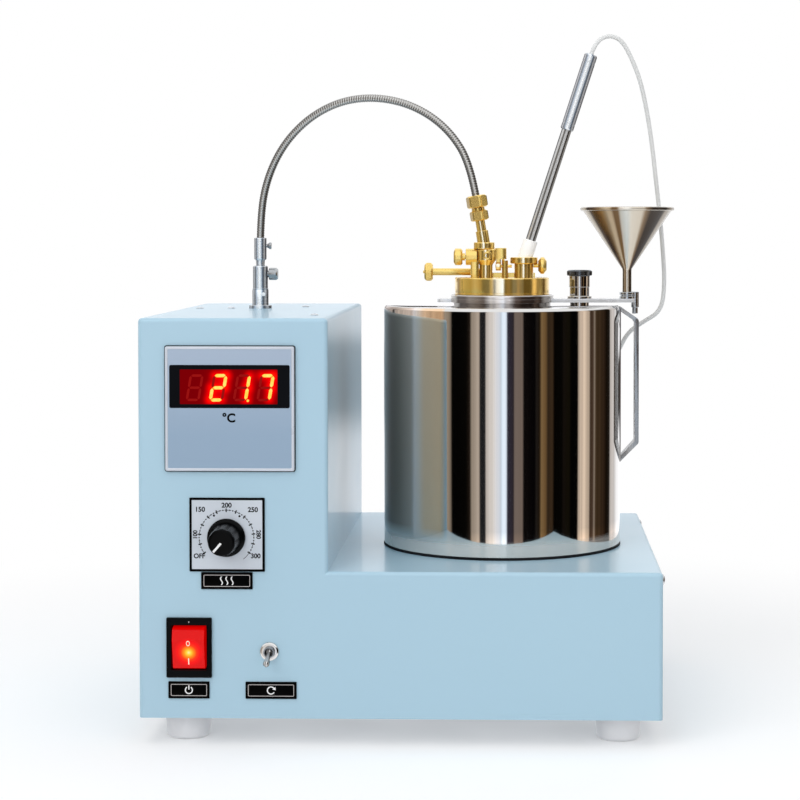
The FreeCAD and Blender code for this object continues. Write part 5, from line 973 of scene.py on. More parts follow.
meter = {
    "left": 14.7, "low": 150.2, "width": 71.2, "height": 68.6, "proud": 2.4,
    "window": (17.6, 184.9, 82.9, 208.2), "filter": (23.3, 187.0, 76.3, 205.8),
    "digitLeft": 25.9, "digitLow": 188.3, "pitch": 12.8, "digitWidth": 8.3, "digitHeight": 15.2,
    "stroke": 2.0, "slant": 0.17, "lit": [[], "abged", "bc", "abc"],
}


def segmentBar(letter):
    # The two ends of a segment's centre line, in a digit's own box
    wide, high, gap = meter["digitWidth"], meter["digitHeight"], 0.35
    half = meter["stroke"] / 2
    left, right = half, wide - half
    low, middle, top = half, high / 2, high - half
    ends = {
        "a": ((left, top), (right, top)), "d": ((left, low), (right, low)),
        "g": ((left, middle), (right, middle)),
        "b": ((right, middle), (right, top)), "c": ((right, low), (right, middle)),
        "e": ((left, low), (left, middle)), "f": ((left, middle), (left, top)),
    }[letter]
    one, other = Vector(ends[0]), Vector(ends[1])
    step = (other - one).normalized() * gap
    return one + step, other - step


def onMeter(point, cell):
    x = meter["digitLeft"] + cell * meter["pitch"] + point.x + point.y * meter["slant"]
    return Vector((x, meter["digitLow"] + point.y))


def inner(box, inset):
    # A box, smaller by the inset on each side
    left, low, right, high = box
    return left + inset, low + inset, right - inset, high - inset


def frameOf(name, box, inset, hole, low, high, finish, rounds, edge=0, segments=2):
    # A rectangular frame on the panel's front, round a hole
    around, within = rounds
    return frameSlab(name, rectangle(*inner(box, inset), around), rectangle(*hole, within), low, high, finish,
                     edge=edge, segments=segments)


def makeIndicator():
    box = (meter["left"], meter["low"], meter["left"] + meter["width"], meter["low"] + meter["height"])
    window = meter["window"]
    case = frameOf("meterCase", box, 0, window, 0, 1.3, "black", (1.2, 0.9), 0.3, 3)
    rim = frameOf("meterRim", box, 0.5, inner(box, 2.1), 1.0, meter["proud"], "meterEdge", (1.0, 0.5), 0.5, 3)
    face = frameOf("meterFace", box, 1.9, window, 1.0, 2.1, "meterFace", (0.4, 0.9), 0.1, 1)
    unit = lettering("unitMark", "°C", 5.3, "ink", (49.9, -2.11, 179.7), 0.035)
    fit(gathered("meterBezel", [case, rim, face, unit]), "instrument", "indicator_bezel", slot="meter_face")
    pane = frameOf("meterWindow", window, -0.05, meter["filter"], 0.3, 2.12, "windowBlack", (0.9, 0.4),
                   0.05, 1)
    fit(pane, "instrument", "indicator_window", slot="window_red")
    fit(makeDigits(), "instrument", "indicator_digits", slot="digit_light")


def glowAt(here, bars):
    # The light at a place on the filter, from all lit bars; a bar without length is the point
    total = 0
    for one, other in bars:
        reach = other - one
        point = reach.length < 1e-6
        share = 0 if point else max(0, min(1, (here - one).dot(reach) / reach.length_squared))
        away = (here - one - reach * share).length
        total += math.exp(-(away / 2.2) ** 1.3) * (0.4 if point else 1)
    return min(1, 1 - math.exp(-1.2 * total))


def makeFilter(bars):
    left, low, right, high = inner(meter["filter"], -0.3)
    across, up = 150, 54
    places = [(left + (right - left) * column / across, low + (high - low) * row / up)
              for row in range(up + 1) for column in range(across + 1)]
    faces = [(start, start + 1, start + across + 2, start + across + 1)
             for row in range(up) for start in range(row * (across + 1), row * (across + 1) + across)]
    mesh = bpy.data.meshes.new("redFilter")
    mesh.from_pydata([(x, z, 2.0) for x, z in places], [], faces)
    attribute = mesh.attributes.new("glow", "FLOAT", "POINT")
    attribute.data.foreach_set("value", [glowAt(Vector(place), bars) for place in places])
    mesh.materials.append(finishes["redFilter"])
    mesh.transform(seat((0, 0, 0), "front"))
    return shown("redFilter", mesh)


def makeDigits():
    lit = [(cell, segmentBar(letter)) for cell, letters in enumerate(meter["lit"]) for letter in letters]
    dot = Vector((meter["digitLeft"] + 2 * meter["pitch"] + 8.7, meter["digitLow"] + 0.6))
    pieces = [makeFilter([[onMeter(point, cell) for point in ends] for cell, ends in lit] + [(dot, dot)])]
    for cell, letters in enumerate(meter["lit"]):
        for letter in "abcdefg":
            one, other = segmentBar(letter)
            bright = letter in letters
            finish, half, top = ("segmentLit", 0.43, 2.05) if bright else ("segmentFaint", 0.34, 2.02)
            width = meter["stroke"] * half
            ahead = (other - one).normalized()
            aside = Vector((-ahead.y, ahead.x))
            outline = [one - ahead * 0.2, one + (ahead + aside) * width, other - (ahead - aside) * width,
                       other + ahead * 0.2, other - (ahead + aside) * width, one + (ahead - aside) * width]
            corners = [(*onMeter(point, cell), 0.25) for point in reversed(outline)]
            pieces.append(slab("segment", corners, 2.0, top, finish, turn="front", ease=3))
    pieces.append(slab("point", disc(0.7, 20, dot.x, dot.y), 2.0, 2.05, "segmentLit", turn="front"))
    return gathered("meterDigits", pieces)


makeIndicator()
print("indicator made")

# Heater dial and its knob

dial = {
    "left": 28.0, "low": 95.8, "width": 41.0, "height": 40.2, "x": 48.2, "z": 114.4,
    "ring": 14.9, "first": -34.0, "step": 20.75, "major": 13, "minor": 37,
    "figures": [("OFF", 33.4, 104.3, 2.7, 0), ("150", 34.1, 129.7, 2.8, 0), ("200", 48.3, 132.0, 2.8, 0),
                ("250", 62.6, 129.6, 2.8, 0), ("300", 64.1, 104.4, 2.7, 0), ("100", 31.1, 116.1, 2.5, 90),
                ("280", 65.7, 116.1, 2.5, -90)],
}


def arcBar(radius, width, start, end, steps=28):
    # A bent bar, as an outline
    angles = [math.radians(start + (end - start) * i / steps) for i in range(steps + 1)]
    return [(reach * math.cos(a), reach * math.sin(a))
            for reach, row in ((radius + width / 2, angles), (radius - width / 2, angles[::-1])) for a in row]


def makeDial():
    box = (dial["left"], dial["low"], dial["left"] + dial["width"], dial["low"] + dial["height"])
    centre, ring, first = (dial["x"], -0.7, dial["z"]), dial["ring"], dial["first"]
    pieces = [frameOf("dialBorder", box, 0, inner(box, 1.3), 0, 0.8, "label", (0.4, 0.2), 0.1, 2),
              slab("dialFace", rectangle(*inner(box, 1.2), 0.2), 0, 0.7, "dialFace", turn="front")]
    for name, outline, count, start, step in (
        ("majorTicks", rectangle(ring - 1.1, -0.34, ring + 0.9, 0.34, 0.05), dial["major"], first,
         dial["step"]),
        ("minorTicks", rectangle(ring - 0.35, -0.24, ring + 0.35, 0.24, 0.05), dial["minor"], first,
         dial["step"] / 3),
        ("ringDash", arcBar(ring, 0.34, 0, 3.4, 4), 48, first, dial["step"] / 4),
        ("ringTail", arcBar(ring, 0.28, 0, 18, 4), 1, -52.0, 0.0),
    ):
        pieces.append(ringOf(slab(name, outline, 0, 0.05, "ink"), "ink", centre, "front", count, start, step))
    for index, (words, x, z, height, spin) in enumerate(dial["figures"]):
        pieces.append(lettering(f"figure{index}", words, height, "ink", (x, -0.72, z), 0.03, spin))
    for x, z in ((41.4, 126.3), (55.3, 126.0)):
        pieces.append(slab("dialDot", disc(0.6, 20), 0, 0.05, "ink", (x, -0.7, z), "front"))
    return fit(gathered("heaterDial", pieces), "instrument", "dial_plate", slot="dial_face")


knob = {
    "skirt": 10.4, "skirtHeight": 2.6, "base": 8.4, "top": 7.3, "flutes": 10, "fluteDepth": 0.75,
    "pointer": 229.0, "steps": 160,
}


def makeKnob():
    base, top, skirtHeight = knob["base"], knob["top"], knob["skirtHeight"]
    place = (dial["x"], -1.3, dial["z"])
    skirt = turned("knobSkirt", [
        (0, 0), (knob["skirt"], 0, 0.3), (knob["skirt"], 1.3, 0.6), (base + 0.5, skirtHeight, 0.4),
        (0, skirtHeight),
    ], "gloss", place, "front", 96)
    steps = knob["steps"]
    rows = [(1.5, base + 0.1), (2.6, base), (4.0, base - 0.1), (16.4, top + 0.1), (18.2, top),
            (19.0, top - 0.2), (19.4, top - 0.7), (19.4, top - 1.6)]
    made = bmesh.new()
    rings = []
    for height, radius in rows:
        depth = knob["fluteDepth"] if 3 < height < 18.5 else 0
        ring = []
        for angle in [2 * math.pi * index / steps for index in range(steps)]:
            reach = radius - depth * max(0, math.cos(angle * knob["flutes"])) ** 2.2
            ring.append(made.verts.new((reach * math.cos(angle), reach * math.sin(angle), height)))
        rings.append(ring)
    for ring, above in zip(rings, rings[1:]):
        belt(made, ring, above)
    made.faces.new(rings[0][::-1])
    made.faces.new(rings[-1])
    body = meshPiece("knobBody", made, "gloss", seat(place, "front"), sharp=40)
    line = reseat(slab("knobPointer", rectangle(0.3, -0.6, 6.6, 0.6, 0.12), 19.3, 19.46, "labelWhite"),
                  seat(place, "front") @ turning(knob["pointer"], "Z"))
    return fit(gathered("heaterKnob", [skirt, body, line]), "regulator", "heater_knob", slot="black_plastic")


makeDial()
makeKnob()
print("dial and knob made")

# Label plates with their signs

labels = {
    "heater": (34.3, 86.2, 62.3, 95.4), "mains": (16.2, 26.4, 38.6, 35.6), "motor": (58.3, 26.4, 86.1, 35.6),
    "thick": 0.8, "inset": 1.35, "line": 0.32,
}


def waveBar(x, width, low, high, swing, steps=20):
    def at(step, side):
        share = step / steps
        return (x + side * width / 2 + swing * math.sin(share * 2 * math.pi), low + (high - low) * share)
    return [at(i, 1) for i in range(steps + 1)] + [at(i, -1) for i in range(steps, -1, -1)]


def makeLabels():
    signs = {
        "mains": [arcBar(1.9, 0.62, 125, 415), rectangle(-0.31, 0.2, 0.31, 2.6, 0.1)],
        "heater": [waveBar(x, 0.68, -2.3, 2.3, 0.5) for x in (-2.9, 0, 2.9)],
        "motor": [arcBar(1.95, 0.62, 40, 330), [(0.72, 0.63), (2.42, 1.95), (2.6, 0.1)]],
    }
    inset, line, thick = labels["inset"], labels["line"], labels["thick"]
    pieces = []
    for name, outlines in signs.items():
        box = labels[name]
        left, low, right, high = box
        middle = ((left + right) / 2, -thick, (low + high) / 2)
        pieces.append(slab(f"{name}Plate", rectangle(*box, 0.25), 0, thick, "label", turn="front", edge=0.1))
        pieces.append(frameOf(f"{name}Line", box, inset, inner(box, inset + line), thick, thick + 0.04,
                              "labelLine", (0.6, 0.35)))
        pieces += [slab(f"{name}Sign", outline, 0, 0.05, "labelWhite", middle, "front")
                   for outline in outlines]
    return fit(gathered("labelPlates", pieces), "instrument", "label_plates", slot="label_black")


makeLabels()

# Mains switch

rocker = {
    "frame": (15.3, 37.9, 40.0, 70.6), "room": (18.0, 42.0, 37.3, 66.5), "x": 27.65, "z": 54.25, "pivot": 1.0,
    "face": 5.2, "back": 5.5, "swing": 11.6, "half": 8.7, "nought": 4.3, "one": -6.0,
}


def makeSwitchFrame():
    box, room = rocker["frame"], rocker["room"]
    ring = frameOf("switchFrame", box, 0, room, 0, 2.0, "black", (0.6, 0.5), 0.35, 3)
    well = frameOf("switchWell", box, 1.4, inner(room, 0.02), -12, 0.4, "black", (0.4, 0.4))
    floor = slab("switchFloor", rectangle(*inner(box, 1.4), 0.4), -20, -12, "black", turn="front")
    mark = slab("switchMark", disc(0.35, 16), 2.0, 2.03, "labelLine", (rocker["x"], 0, 68.4), "front")
    pieces = [ring, well, floor, mark]
    return fit(gathered("mainsSwitchFrame", pieces), "instrument", "mains_switch_frame", slot="black_plastic")


def rockerOutline():
    # The rocker's side view: a bent face, and round flanks about its pivot
    swing, face, back = rocker["swing"], rocker["face"], rocker["back"]
    top = math.sqrt(swing ** 2 - face ** 2)
    start, end = math.atan2(face, top), math.atan2(-back, math.sqrt(swing ** 2 - back ** 2))
    angles = [start + (end - start) * i / 10 for i in range(1, 11)]
    side = [(swing * math.cos(angle), swing * math.sin(angle)) for angle in angles]
    bend = [(-top - 1, face - 3), (-top, face, 0.7), (top - 4.4, face, 0.4), (top, face - 2.3, 0.7), side[1]]
    return [tuple(point) for point in eased(bend, False)[1:-1]] + side[1:] + [(-x, y) for x, y in side[:0:-1]]


def makeRocker():
    half, face = rocker["half"], rocker["face"]
    seatOf = seat((rocker["x"], rocker["pivot"], rocker["z"]), "rocker")
    made = bmesh.new()
    ends = [[made.verts.new((x, v, u)) for v, u in rockerOutline()] for x in (-half, half)]
    made.faces.new(ends[0])
    made.faces.new(ends[1][::-1])
    body = meshPiece("rockerBody", made, "rockerRed", seatOf, 0.45, 3, belt(made, *ends), 40)
    nought = slab("markNought", arcBar(1.0, 0.42, 0, 360, 36), face, face + 0.05, "rockerMark")
    oval = Matrix.Translation((0, rocker["nought"], 0)) @ Matrix.Diagonal((0.85, 1.3, 1, 1))
    one = slab("markOne", rectangle(-0.28, -2.0, 0.28, 1.6, 0.1), face, face + 0.05, "rockerMark")
    pieces = [body, reseat(nought, seatOf @ oval),
              reseat(one, seatOf @ Matrix.Translation((0, rocker["one"], 0)))]
    return fit(gathered("mainsRocker", pieces), "rocker", "mains_rocker", slot="rocker_red")


makeSwitchFrame()
makeRocker()
print("labels and mains switch made")

# Motor switch

toggle = {"x": 71.4, "z": 52.3, "pivot": -1.0, "ball": 2.15}


def makeToggle():
    place = (toggle["x"], 0, toggle["z"])
    pivot = (toggle["x"], toggle["pivot"], toggle["z"])
    nut = turned("toggleNut", [(3.0, 0), (5.1, 0, 0.2), (5.1, 1.4, 0.5), (4.2, 2.0, 0.3), (3.0, 2.0)],
                 "chrome", place, "front", loop=True)
    fit(nut, "instrument", "motor_switch_nut", slot="chrome_plate")
    bush = turned("toggleBush", [(2.3, 0.2), (2.98, 0.2), (2.98, 4.2, 0.35), (2.3, 4.2, 0.2)],
                  "chrome", place, "front", loop=True)
    fit(bush, "instrument")
    lever = turned("toggleLever", [
        (0, 0.3), (1.0, 0.3), (1.05, 3.0), (1.25, 9.0), (1.7, 12.4, 1.5), (1.75, 14.6, 1.2), (0.8, 15.7, 0.5),
        (0, 15.7),
    ], "rod", pivot, "lever", 40)
    reach = toggle["ball"]
    ends = [(0, -reach), (0, reach)]
    belly = [(reach * math.cos(angle), reach * math.sin(angle)) for angle in
             [math.radians(-75 + 15 * i) for i in range(11)]]
    ball = turned("toggleBall", [ends[0], *belly, ends[1]], "rod", pivot, "lever", 32)
    return fit(gathered("toggleLever", [lever, ball]), "switch_lever", "motor_switch_lever",
               slot="chrome_plate")


makeToggle()

# Drive sleeve, ferrule and their thumb screws

drive = {"x": 47.9, "y": 150.0, "bigZ": 254.6, "smallZ": 271.9, "grub": (50.3, 145.7, 242.2)}


def makeDrive():
    place = (drive["x"], drive["y"], 0)
    big, small = [(drive["x"], drive["y"], drive[key]) for key in ("bigZ", "smallZ")]
    sleeve = turned("driveSleeve", [
        (2.9, 227.5), (4.4, 227.5), (4.4, 233.45), (6.9, 233.45), (6.9, 235.4, 0.4), (5.0, 235.5, 0.2),
        (4.95, 236.2), (4.95, 244.6), (4.75, 244.9), (4.75, 245.2), (4.9, 245.5), (4.6, 245.7, 0.1),
        (4.6, 259.0, 0.5), (4.0, 259.6), (2.9, 259.6),
    ], "bright", place, steps=72, loop=True)
    grub = turned("grubScrew", [(0, 0), (1.2, 0, 0.1), (1.2, 0.5, 0.15), (0, 0.5)], "labelWhite",
                  drive["grub"], "front", 24)
    fit(gathered("driveSleeve", [sleeve, grub]), "instrument", "drive_sleeve", slot="zinc_steel")
    ferrule = turned("shaftFerrule", [
        (2.45, 251.8), (2.82, 251.8), (2.82, 259.9), (2.55, 260.0), (2.75, 263.0, 0.2), (3.4, 263.3, 0.2),
        (3.8, 264.0, 0.3), (3.8, 276.4, 0.4), (3.4, 276.8, 0.2), (2.45, 276.8),
    ], "bright", place, loop=True)
    fit(ferrule, "instrument", "shaft_ferrule", slot="zinc_steel")
    head = turned("sleeveScrew", [
        (0, 3.3), (1.5, 3.3), (1.5, 4.4), (2.1, 4.5, 0.2), (2.1, 5.3), (3.75, 5.4, 0.5), (3.75, 10.0, 0.6),
        (2.9, 10.9, 0.4), (0, 10.9),
    ], "satin", big, "right")
    edge = knurl("sleeveKnurl", 3.66, 6.2, 9.4, 0.16, 44, "satin", big, "right")
    fit(gathered("sleeveScrew", [head, edge]), "sleeve_thumbscrew", "sleeve_screw", slot="zinc_steel")
    slim = turned("ferruleScrew", [
        (0, 2.7), (1.0, 2.7), (1.0, 4.3), (1.5, 4.6, 0.2), (1.5, 5.2, 0.2), (2.1, 5.6, 0.3), (2.1, 6.8, 0.3),
        (0, 7.1),
    ], "satin", small, "right", 40)
    return fit(slim, "ferrule_thumbscrew", "ferrule_screw", slot="zinc_steel")


makeDrive()
print("toggle and drive made")

# Water bath

funnelPlace = (270.8, bath["y"], 0)
bathPlace = (bath["x"], bath["y"], 0)


def makeBath():
    radius, wall, top, neck = bath["radius"], bath["wall"], bath["top"], bath["neck"]
    shell = turned("bathShell", [
        (radius - wall, bath["seat"]), (radius, bath["seat"], 0.5), (radius, top, bath["edge"]), (neck, top),
        (neck, top - wall), (radius - wall - 2, top - wall), (radius - wall, top - wall - 2),
    ], "bath", bathPlace, steps=bath["steps"], loop=True, ease=8)
    fit(shell, "instrument", "bath_shell", slot="polished_steel")
    gasket = turned("bathGasket", [(62, 95.7), (70.2, 95.7, 0.3), (70.2, 97.1, 0.5), (62, 97.1)], "gasket",
                    bathPlace, steps=192, loop=True)
    fit(gasket, "instrument", "bath_gasket", slot="gasket_rubber")
    ring = turned("neckRing", [
        (27.4, 232.2), (28.8, 232.2), (28.8, 240.2, 0.4), (30.2, 240.5, 0.4), (30.5, 241.2, 0.4),
        (30.5, 242.6, 0.5), (29.7, 243.3, 0.3), (28.2, 243.3), (28.2, 241.1), (27.4, 241.1),
    ], "neck", bathPlace, steps=192, loop=True)
    return fit(ring, "instrument", "neck_ring", slot="polished_steel")


def makeBracket():
    low, high, reach = 238.7, 240.9, 78.5
    ring = turned("plateRing", [(28.8, low), (30.5, low, 0.2), (30.5, high, 0.2), (28.8, high)], "neck",
                  bathPlace, steps=160, loop=True)
    arm = slab("plateArm", [(27, -9.2), (reach, -6, 3.2), (reach, 6, 3.2), (27, 9.2)], low, high, "plate",
               bathPlace, edge=0.3, segments=3)
    tab = slab("plateTab", rectangle(-38.3, -6, -27, 6, 2.0), low, high, "plate", bathPlace, edge=0.3,
               segments=3)
    holder = turned("funnelHolder", [
        (3.0, 240.4), (4.5, 240.4), (4.5, 242.2, 0.2), (3.9, 242.5, 0.2), (3.9, 243.1, 0.2),
        (4.5, 243.4, 0.2), (4.5, 244.8, 0.3), (3.0, 244.8, 0.2),
    ], "turnedSteel", funnelPlace, loop=True)
    stud = turned("holderStud", [
        (0, 232.0), (1.7, 232.0, 0.3), (1.7, 235.6), (2.3, 235.8, 0.2), (2.3, 245.0, 0.3), (0, 245.0),
    ], "turnedSteel", (275.6, bath["y"], 0), steps=32)
    pieces = [arm, ring, tab, holder, stud]
    return fit(gathered("bracketPlate", pieces), "instrument", "bracket_plate", slot="satin_steel")


def makeFillerPort():
    place = (242.7, bath["y"], 0)
    pipe = turned("fillerPort", [
        (4.3, 231.2), (5.8, 231.2), (5.8, 240.6), (7.3, 240.6, 0.2), (7.3, 242.3, 0.4), (6.0, 242.6),
        (6.0, 247.6), (6.3, 247.9, 0.2), (6.3, 254.4, 0.3), (4.3, 254.4, 0.2),
    ], "mirror", place, steps=72, loop=True)
    fit(pipe, "instrument", "filler_port", slot="polished_steel")
    cap = turned("fillerCap", [
        (0, 249.4), (4.2, 249.4), (4.2, 254.45), (7.3, 254.45, 0.3), (7.3, 257.2, 0.4), (6.7, 257.8, 0.3),
        (4.6, 257.8), (4.4, 257.5), (0, 257.5),
    ], "darkChrome", place, steps=72)
    edge = knurl("capKnurl", 7.28, 254.9, 257.1, 0.24, 60, "darkChrome", place)
    return fit(gathered("fillerCap", [cap, edge]), "port_cap", "filler_cap", slot="black_plastic")


def makeFunnel():
    bead = {"x": 26.6, "z": 293.9, "radius": 1.15, "first": -118, "step": 25}
    rim = [(bead["x"] + bead["radius"] * math.cos(angle), bead["z"] + bead["radius"] * math.sin(angle))
           for angle in [math.radians(bead["first"] + bead["step"] * i) for i in range(12)]]
    profile = [(2.1, 240.8), (2.7, 240.8, 0.1), (2.7, 258.2, 2.5), *rim, (2.1, 259.3, 2.0)]
    funnel = turned("pouringFunnel", profile, "warmPaintedReflection", funnelPlace, steps=160, loop=True)
    return fit(funnel, "loose_funnel", "funnel", slot="polished_steel")


def makeHandle():
    # A flat strap, bent outwards and back, with both ends welded to a plate on the wall
    end, out, gauge, half = 266.6, 277.5, 2.3, 7
    outer = [(end, 236.4), (out, 228.9, 2.4), (out, 155.7, 2.4), (end, 144.6)]
    within = [(end, 147.4), (out - gauge, 156.9, 1.2), (out - gauge, 227.6, 1.2), (end, 233.6)]
    strap = slab("strap", outer + within, -half, half, "satin", edge=0.35, segments=3)
    plate = slab("strapPlate", rectangle(265.8, 144.6, 266.95, 236.0, 0.3), -half, half, "bath", edge=0.2)
    pieces = [reseat(piece, seat((0, bath["y"], 0), "front")) for piece in (strap, plate)]
    return fit(gathered("bathHandle", pieces), "instrument", "bath_handle", slot="satin_steel")


makeBath()
makeBracket()
makeFillerPort()
makeFunnel()
makeHandle()
print("bath made")

# Brass cover and what stands on it

cover = {
    "radius": 28.0, "low": 243.3, "top": 253.4, "wall": 2.4, "gauge": 2.4, "portX": 197.4, "slideY": 124.7,
    "port": (3.2, 5.4), "pitch": 8.0,
}
slide = (155.2, 124.7, 256.4)
valve = (175.3, 107.9, 265.6)
probeSeat = {"x": 209.7, "y": 111.9, "clampZ": 260.4}


def makeCover():
    radius, low, top, gauge = cover["radius"], cover["low"], cover["top"], cover["gauge"]
    wide, deep = cover["port"]
    lid = turned("brassCover", [
        (radius - cover["wall"], low), (radius, low, 0.3), (radius, low + 0.9, 0.1),
        (radius - 0.25, low + 1.0), (radius - 0.25, low + 1.25), (radius, low + 1.35, 0.1),
        (radius, top, 0.7), (0, top), (0, top - gauge), (radius - cover["wall"], top - gauge),
    ], "brass", bathPlace, steps=192)
    cutters = []
    for x in [cover["portX"] + shift * cover["pitch"] for shift in (-1, 0, 1)]:
        port = rectangle(x - wide / 2, cover["slideY"] - deep / 2, x + wide / 2, cover["slideY"] + deep / 2,
                         0.3)
        cutters.append(slab("portCut", port, top - 5, top + 5, "brass"))
    return fit(cutBy(closeRim(lid), cutters), "cover_assembly", "cover", slot="brass")


def closeRim(piece):
    # Closes the ring that an open profile leaves
    made = bmesh.new()
    made.from_mesh(piece.data)
    bmesh.ops.bridge_loops(made, edges=[edge for edge in made.edges if edge.is_boundary])
    bmesh.ops.recalc_face_normals(made, faces=made.faces)
    made.to_mesh(piece.data)
    made.free()
    return piece


def makeSocket():
    x, y, z = stirrerAxis["start"]
    column = turned("socketColumn", [
        (0, 252.9), (3.9, 252.9), (3.9, 261.0, 2.0), (5.9, 263.6, 1.2), (5.9, 269.6, 0.8), (5.2, 270.4, 0.3),
        (0, 270.4),
    ], "brass", (x + 1.1, y, 0), steps=80)
    boss = turned("socketBoss", [(0, 4.6), (2.6, 4.6), (2.6, 5.9, 0.3), (1.5, 6.1, 0.2), (1.3, 5.2),
                                 (0, 5.2)],
                  "brassPlain", (x + 2.2, y, z - 5.9), "front", 40)
    collar = turned("socketCollar", [
        (0, 270.3), (6.1, 270.3, 0.3), (6.3, 270.9, 0.3), (6.3, 273.6, 0.3), (6.1, 274.2, 0.3), (3.6, 274.2),
        (0, 274.2),
    ], "brass", (x, y, 0), steps=72)
    stem = turned("socketStem", [
        (0, -1), (3.75, -1), (3.75, 8.8, 0.3), (2.85, 8.8), (2.85, 21.5, 0.3), (1.35, 21.5), (1.35, 18),
        (0, 18),
    ], "brass", onAxis(stirrerAxis, 0), "stirrer", 72)
    fit(gathered("stirrerSocket", [column, boss, collar, stem]), "cover_assembly", "stirrer_socket",
        slot="brass")
    lower = hexNut("lowerNut", 5.7, 6.0, 2.86, "brassPlain", onAxis(stirrerAxis, 14.9), "stirrer", rim=3.9,
                   spin=20)
    fit(lower, "cover_assembly", "lower_nut", slot="brass")
    upper = hexNut("upperNut", 6.5, 7.2, 2.45, "brassPlain", onAxis(stirrerAxis, 22.7), "stirrer", spin=20)
    return fit(upper, "cover_assembly", "upper_nut", slot="brass")


def makeSlideRod():
    radius, length, slope, stud = 5.3, 5.1, 0.9, 0.9
    rod = turned("rodBar", [(0, 0), (2.15, 0), (2.15, 33.0, 0.2), (0, 33.0)], "brassPlain", slide, "right",
                 40)
    button = turned("rodKnob", [
        (0, 0), (radius - slope, 0, 0.2), (radius, slope, 0.3), (radius, length - slope, 0.3),
        (radius - slope, length, 0.2), (stud, length), (stud, length + stud, 0.3), (0, length + stud),
    ], "brassPlain", slide, "left", 72)
    edge = knurl("rodKnurl", 5.26, 1.2, 3.9, 0.2, 56, "brassPlain", slide, "left")
    lug = slab("rodLug", rectangle(186.4, 122.8, 188.2, 126.6, 0.2), 254.8, 257.0, "brassPlain", edge=0.15)
    return fit(gathered("slideRod", [rod, button, edge, lug]), "cover_slide", "slide_rod", slot="brass")


def makeGasValve():
    barrel = turned("valveBarrel", [(0, 4.5), (1.5, 4.5), (1.5, 0), (4.9, 0, 0.4), (4.9, 6.6), (0, 6.6)],
                    "brassPlain", valve, "right")
    post = slab("valvePost", rectangle(178.4, 103.98, 183.1, 111.82, 0.5), 253.4, 263.4, "brassPlain",
                edge=0.2)
    fit(gathered("gasValveBody", [barrel, post]), "cover_assembly", "gas_valve_body", slot="brass")
    handle = turned("gasValveKnob", [
        (0, -4.4), (1.3, -4.4), (1.3, 0.35), (2.2, 0.4), (2.2, 1.9), (4.1, 1.9, 0.2), (5.0, 2.8, 0.3),
        (5.0, 6.2, 0.4), (3.6, 7.1, 0.3), (0, 7.1),
    ], "brassPlain", valve, "left")
    return fit(handle, "valve_knob", "gas_valve_knob", slot="brass")


def makeTestJet():
    jet = {"tip": (197.4, 123.6, 259.4), "drop": math.radians(32), "length": 11.4, "rows": 6}
    head = slab("jetHead", [(192.8, 107.5, 0.3), (199.4, 107.5, 1.0), (199.4, 114.5, 1.0),
                            (192.8, 114.5, 0.3)],
                264.2, 270.8, "brassPlain", edge=0.5, segments=3)
    sleeve = turned("jetSleeve", [(0.98, 0.02), (2.6, 0.02, 0.3), (2.6, 3.18, 0.3), (0.98, 3.18)], "brass",
                    (193.0, 111.0, 260.0), "right", 48, loop=True)
    web = slab("jetWeb", rectangle(193.3, 109.8, 196.1, 112.2, 0.2), 260.9, 264.6, "brassPlain")
    tip, rows = Vector(jet["tip"]), jet["rows"]
    start = tip - Vector((0, math.cos(jet["drop"]), -math.sin(jet["drop"]))) * jet["length"]
    line = [spot(*(start + (tip - start) * row / rows)) for row in range(rows + 1)]
    pipe = tubeOn("jetPipe", line, "brass", 0.9, 8, 20)
    return fit(gathered("testJet", [head, sleeve, web, pipe]), "tilting_jet", "test_jet", slot="brass")


def makeProbe():
    x, y = probeSeat["x"], probeSeat["y"]
    start = onAxis(probeAxis, 0)
    socket = turned("probeSocket", [
        (0, 253.3), (5.7, 253.3), (5.7, 261.4, 0.2), (7.9, 261.6, 0.2), (8.2, 262.0, 0.2), (8.2, 265.0, 0.3),
        (7.9, 265.3, 0.2), (4.4, 265.3), (4.2, 264.9), (0, 264.9),
    ], "brass", (x, y, 0), steps=72)
    fit(socket, "cover_assembly", "probe_socket", slot="brass")
    clamp = turned("probeClamp", [
        (0, 5.75), (1.2, 5.75), (1.2, 8.5), (3.0, 8.5, 0.3), (5.0, 10.1, 0.5), (5.0, 11.9, 0.5),
        (3.0, 13.5, 0.3), (0, 13.5),
    ], "brassPlain", (x, y, probeSeat["clampZ"]), "right")
    fit(clamp, "clamp_screw", "probe_clamp_screw", slot="brass")
    sleeve = turned("probeSleeve", [(3.0, 0), (4.35, 0), (4.35, 12.2, 0.4), (3.0, 12.2, 0.1)], "ptfe",
                    onAxis(probeAxis, -1.5), "probe", loop=True)
    fit(sleeve, "cover_assembly", "probe_sleeve", slot="white_ptfe")
    rod = turned("probeRod", [(0, -46), (2.0, -46, 1.2), (2.0, -1.6), (2.98, -1.4), (2.98, 87, 0.1), (0, 87)],
                 "rod", start, "probe")
    fit(rod, "cover_assembly", "probe_rod", slot="polished_steel")
    grip = turned("probeHandle", [
        (3.0, 79.4), (3.6, 79.4, 0.2), (3.9, 80.0, 0.2), (3.9, 83.0), (3.75, 83.1), (3.75, 83.6), (3.9, 83.7),
        (3.9, 121.0), (3.75, 121.1), (3.75, 121.6), (3.9, 121.7), (3.9, 125.4, 0.3), (3.3, 126.2, 0.3),
        (0, 126.2),
    ], "bright", start, "probe")
    return fit(grip, "cover_assembly", "probe_handle", slot="aluminium")


makeCover()
makeSocket()
makeSlideRod()
makeGasValve()
makeTestJet()
makeProbe()
print("cover made")

# Flexible shaft and probe lead


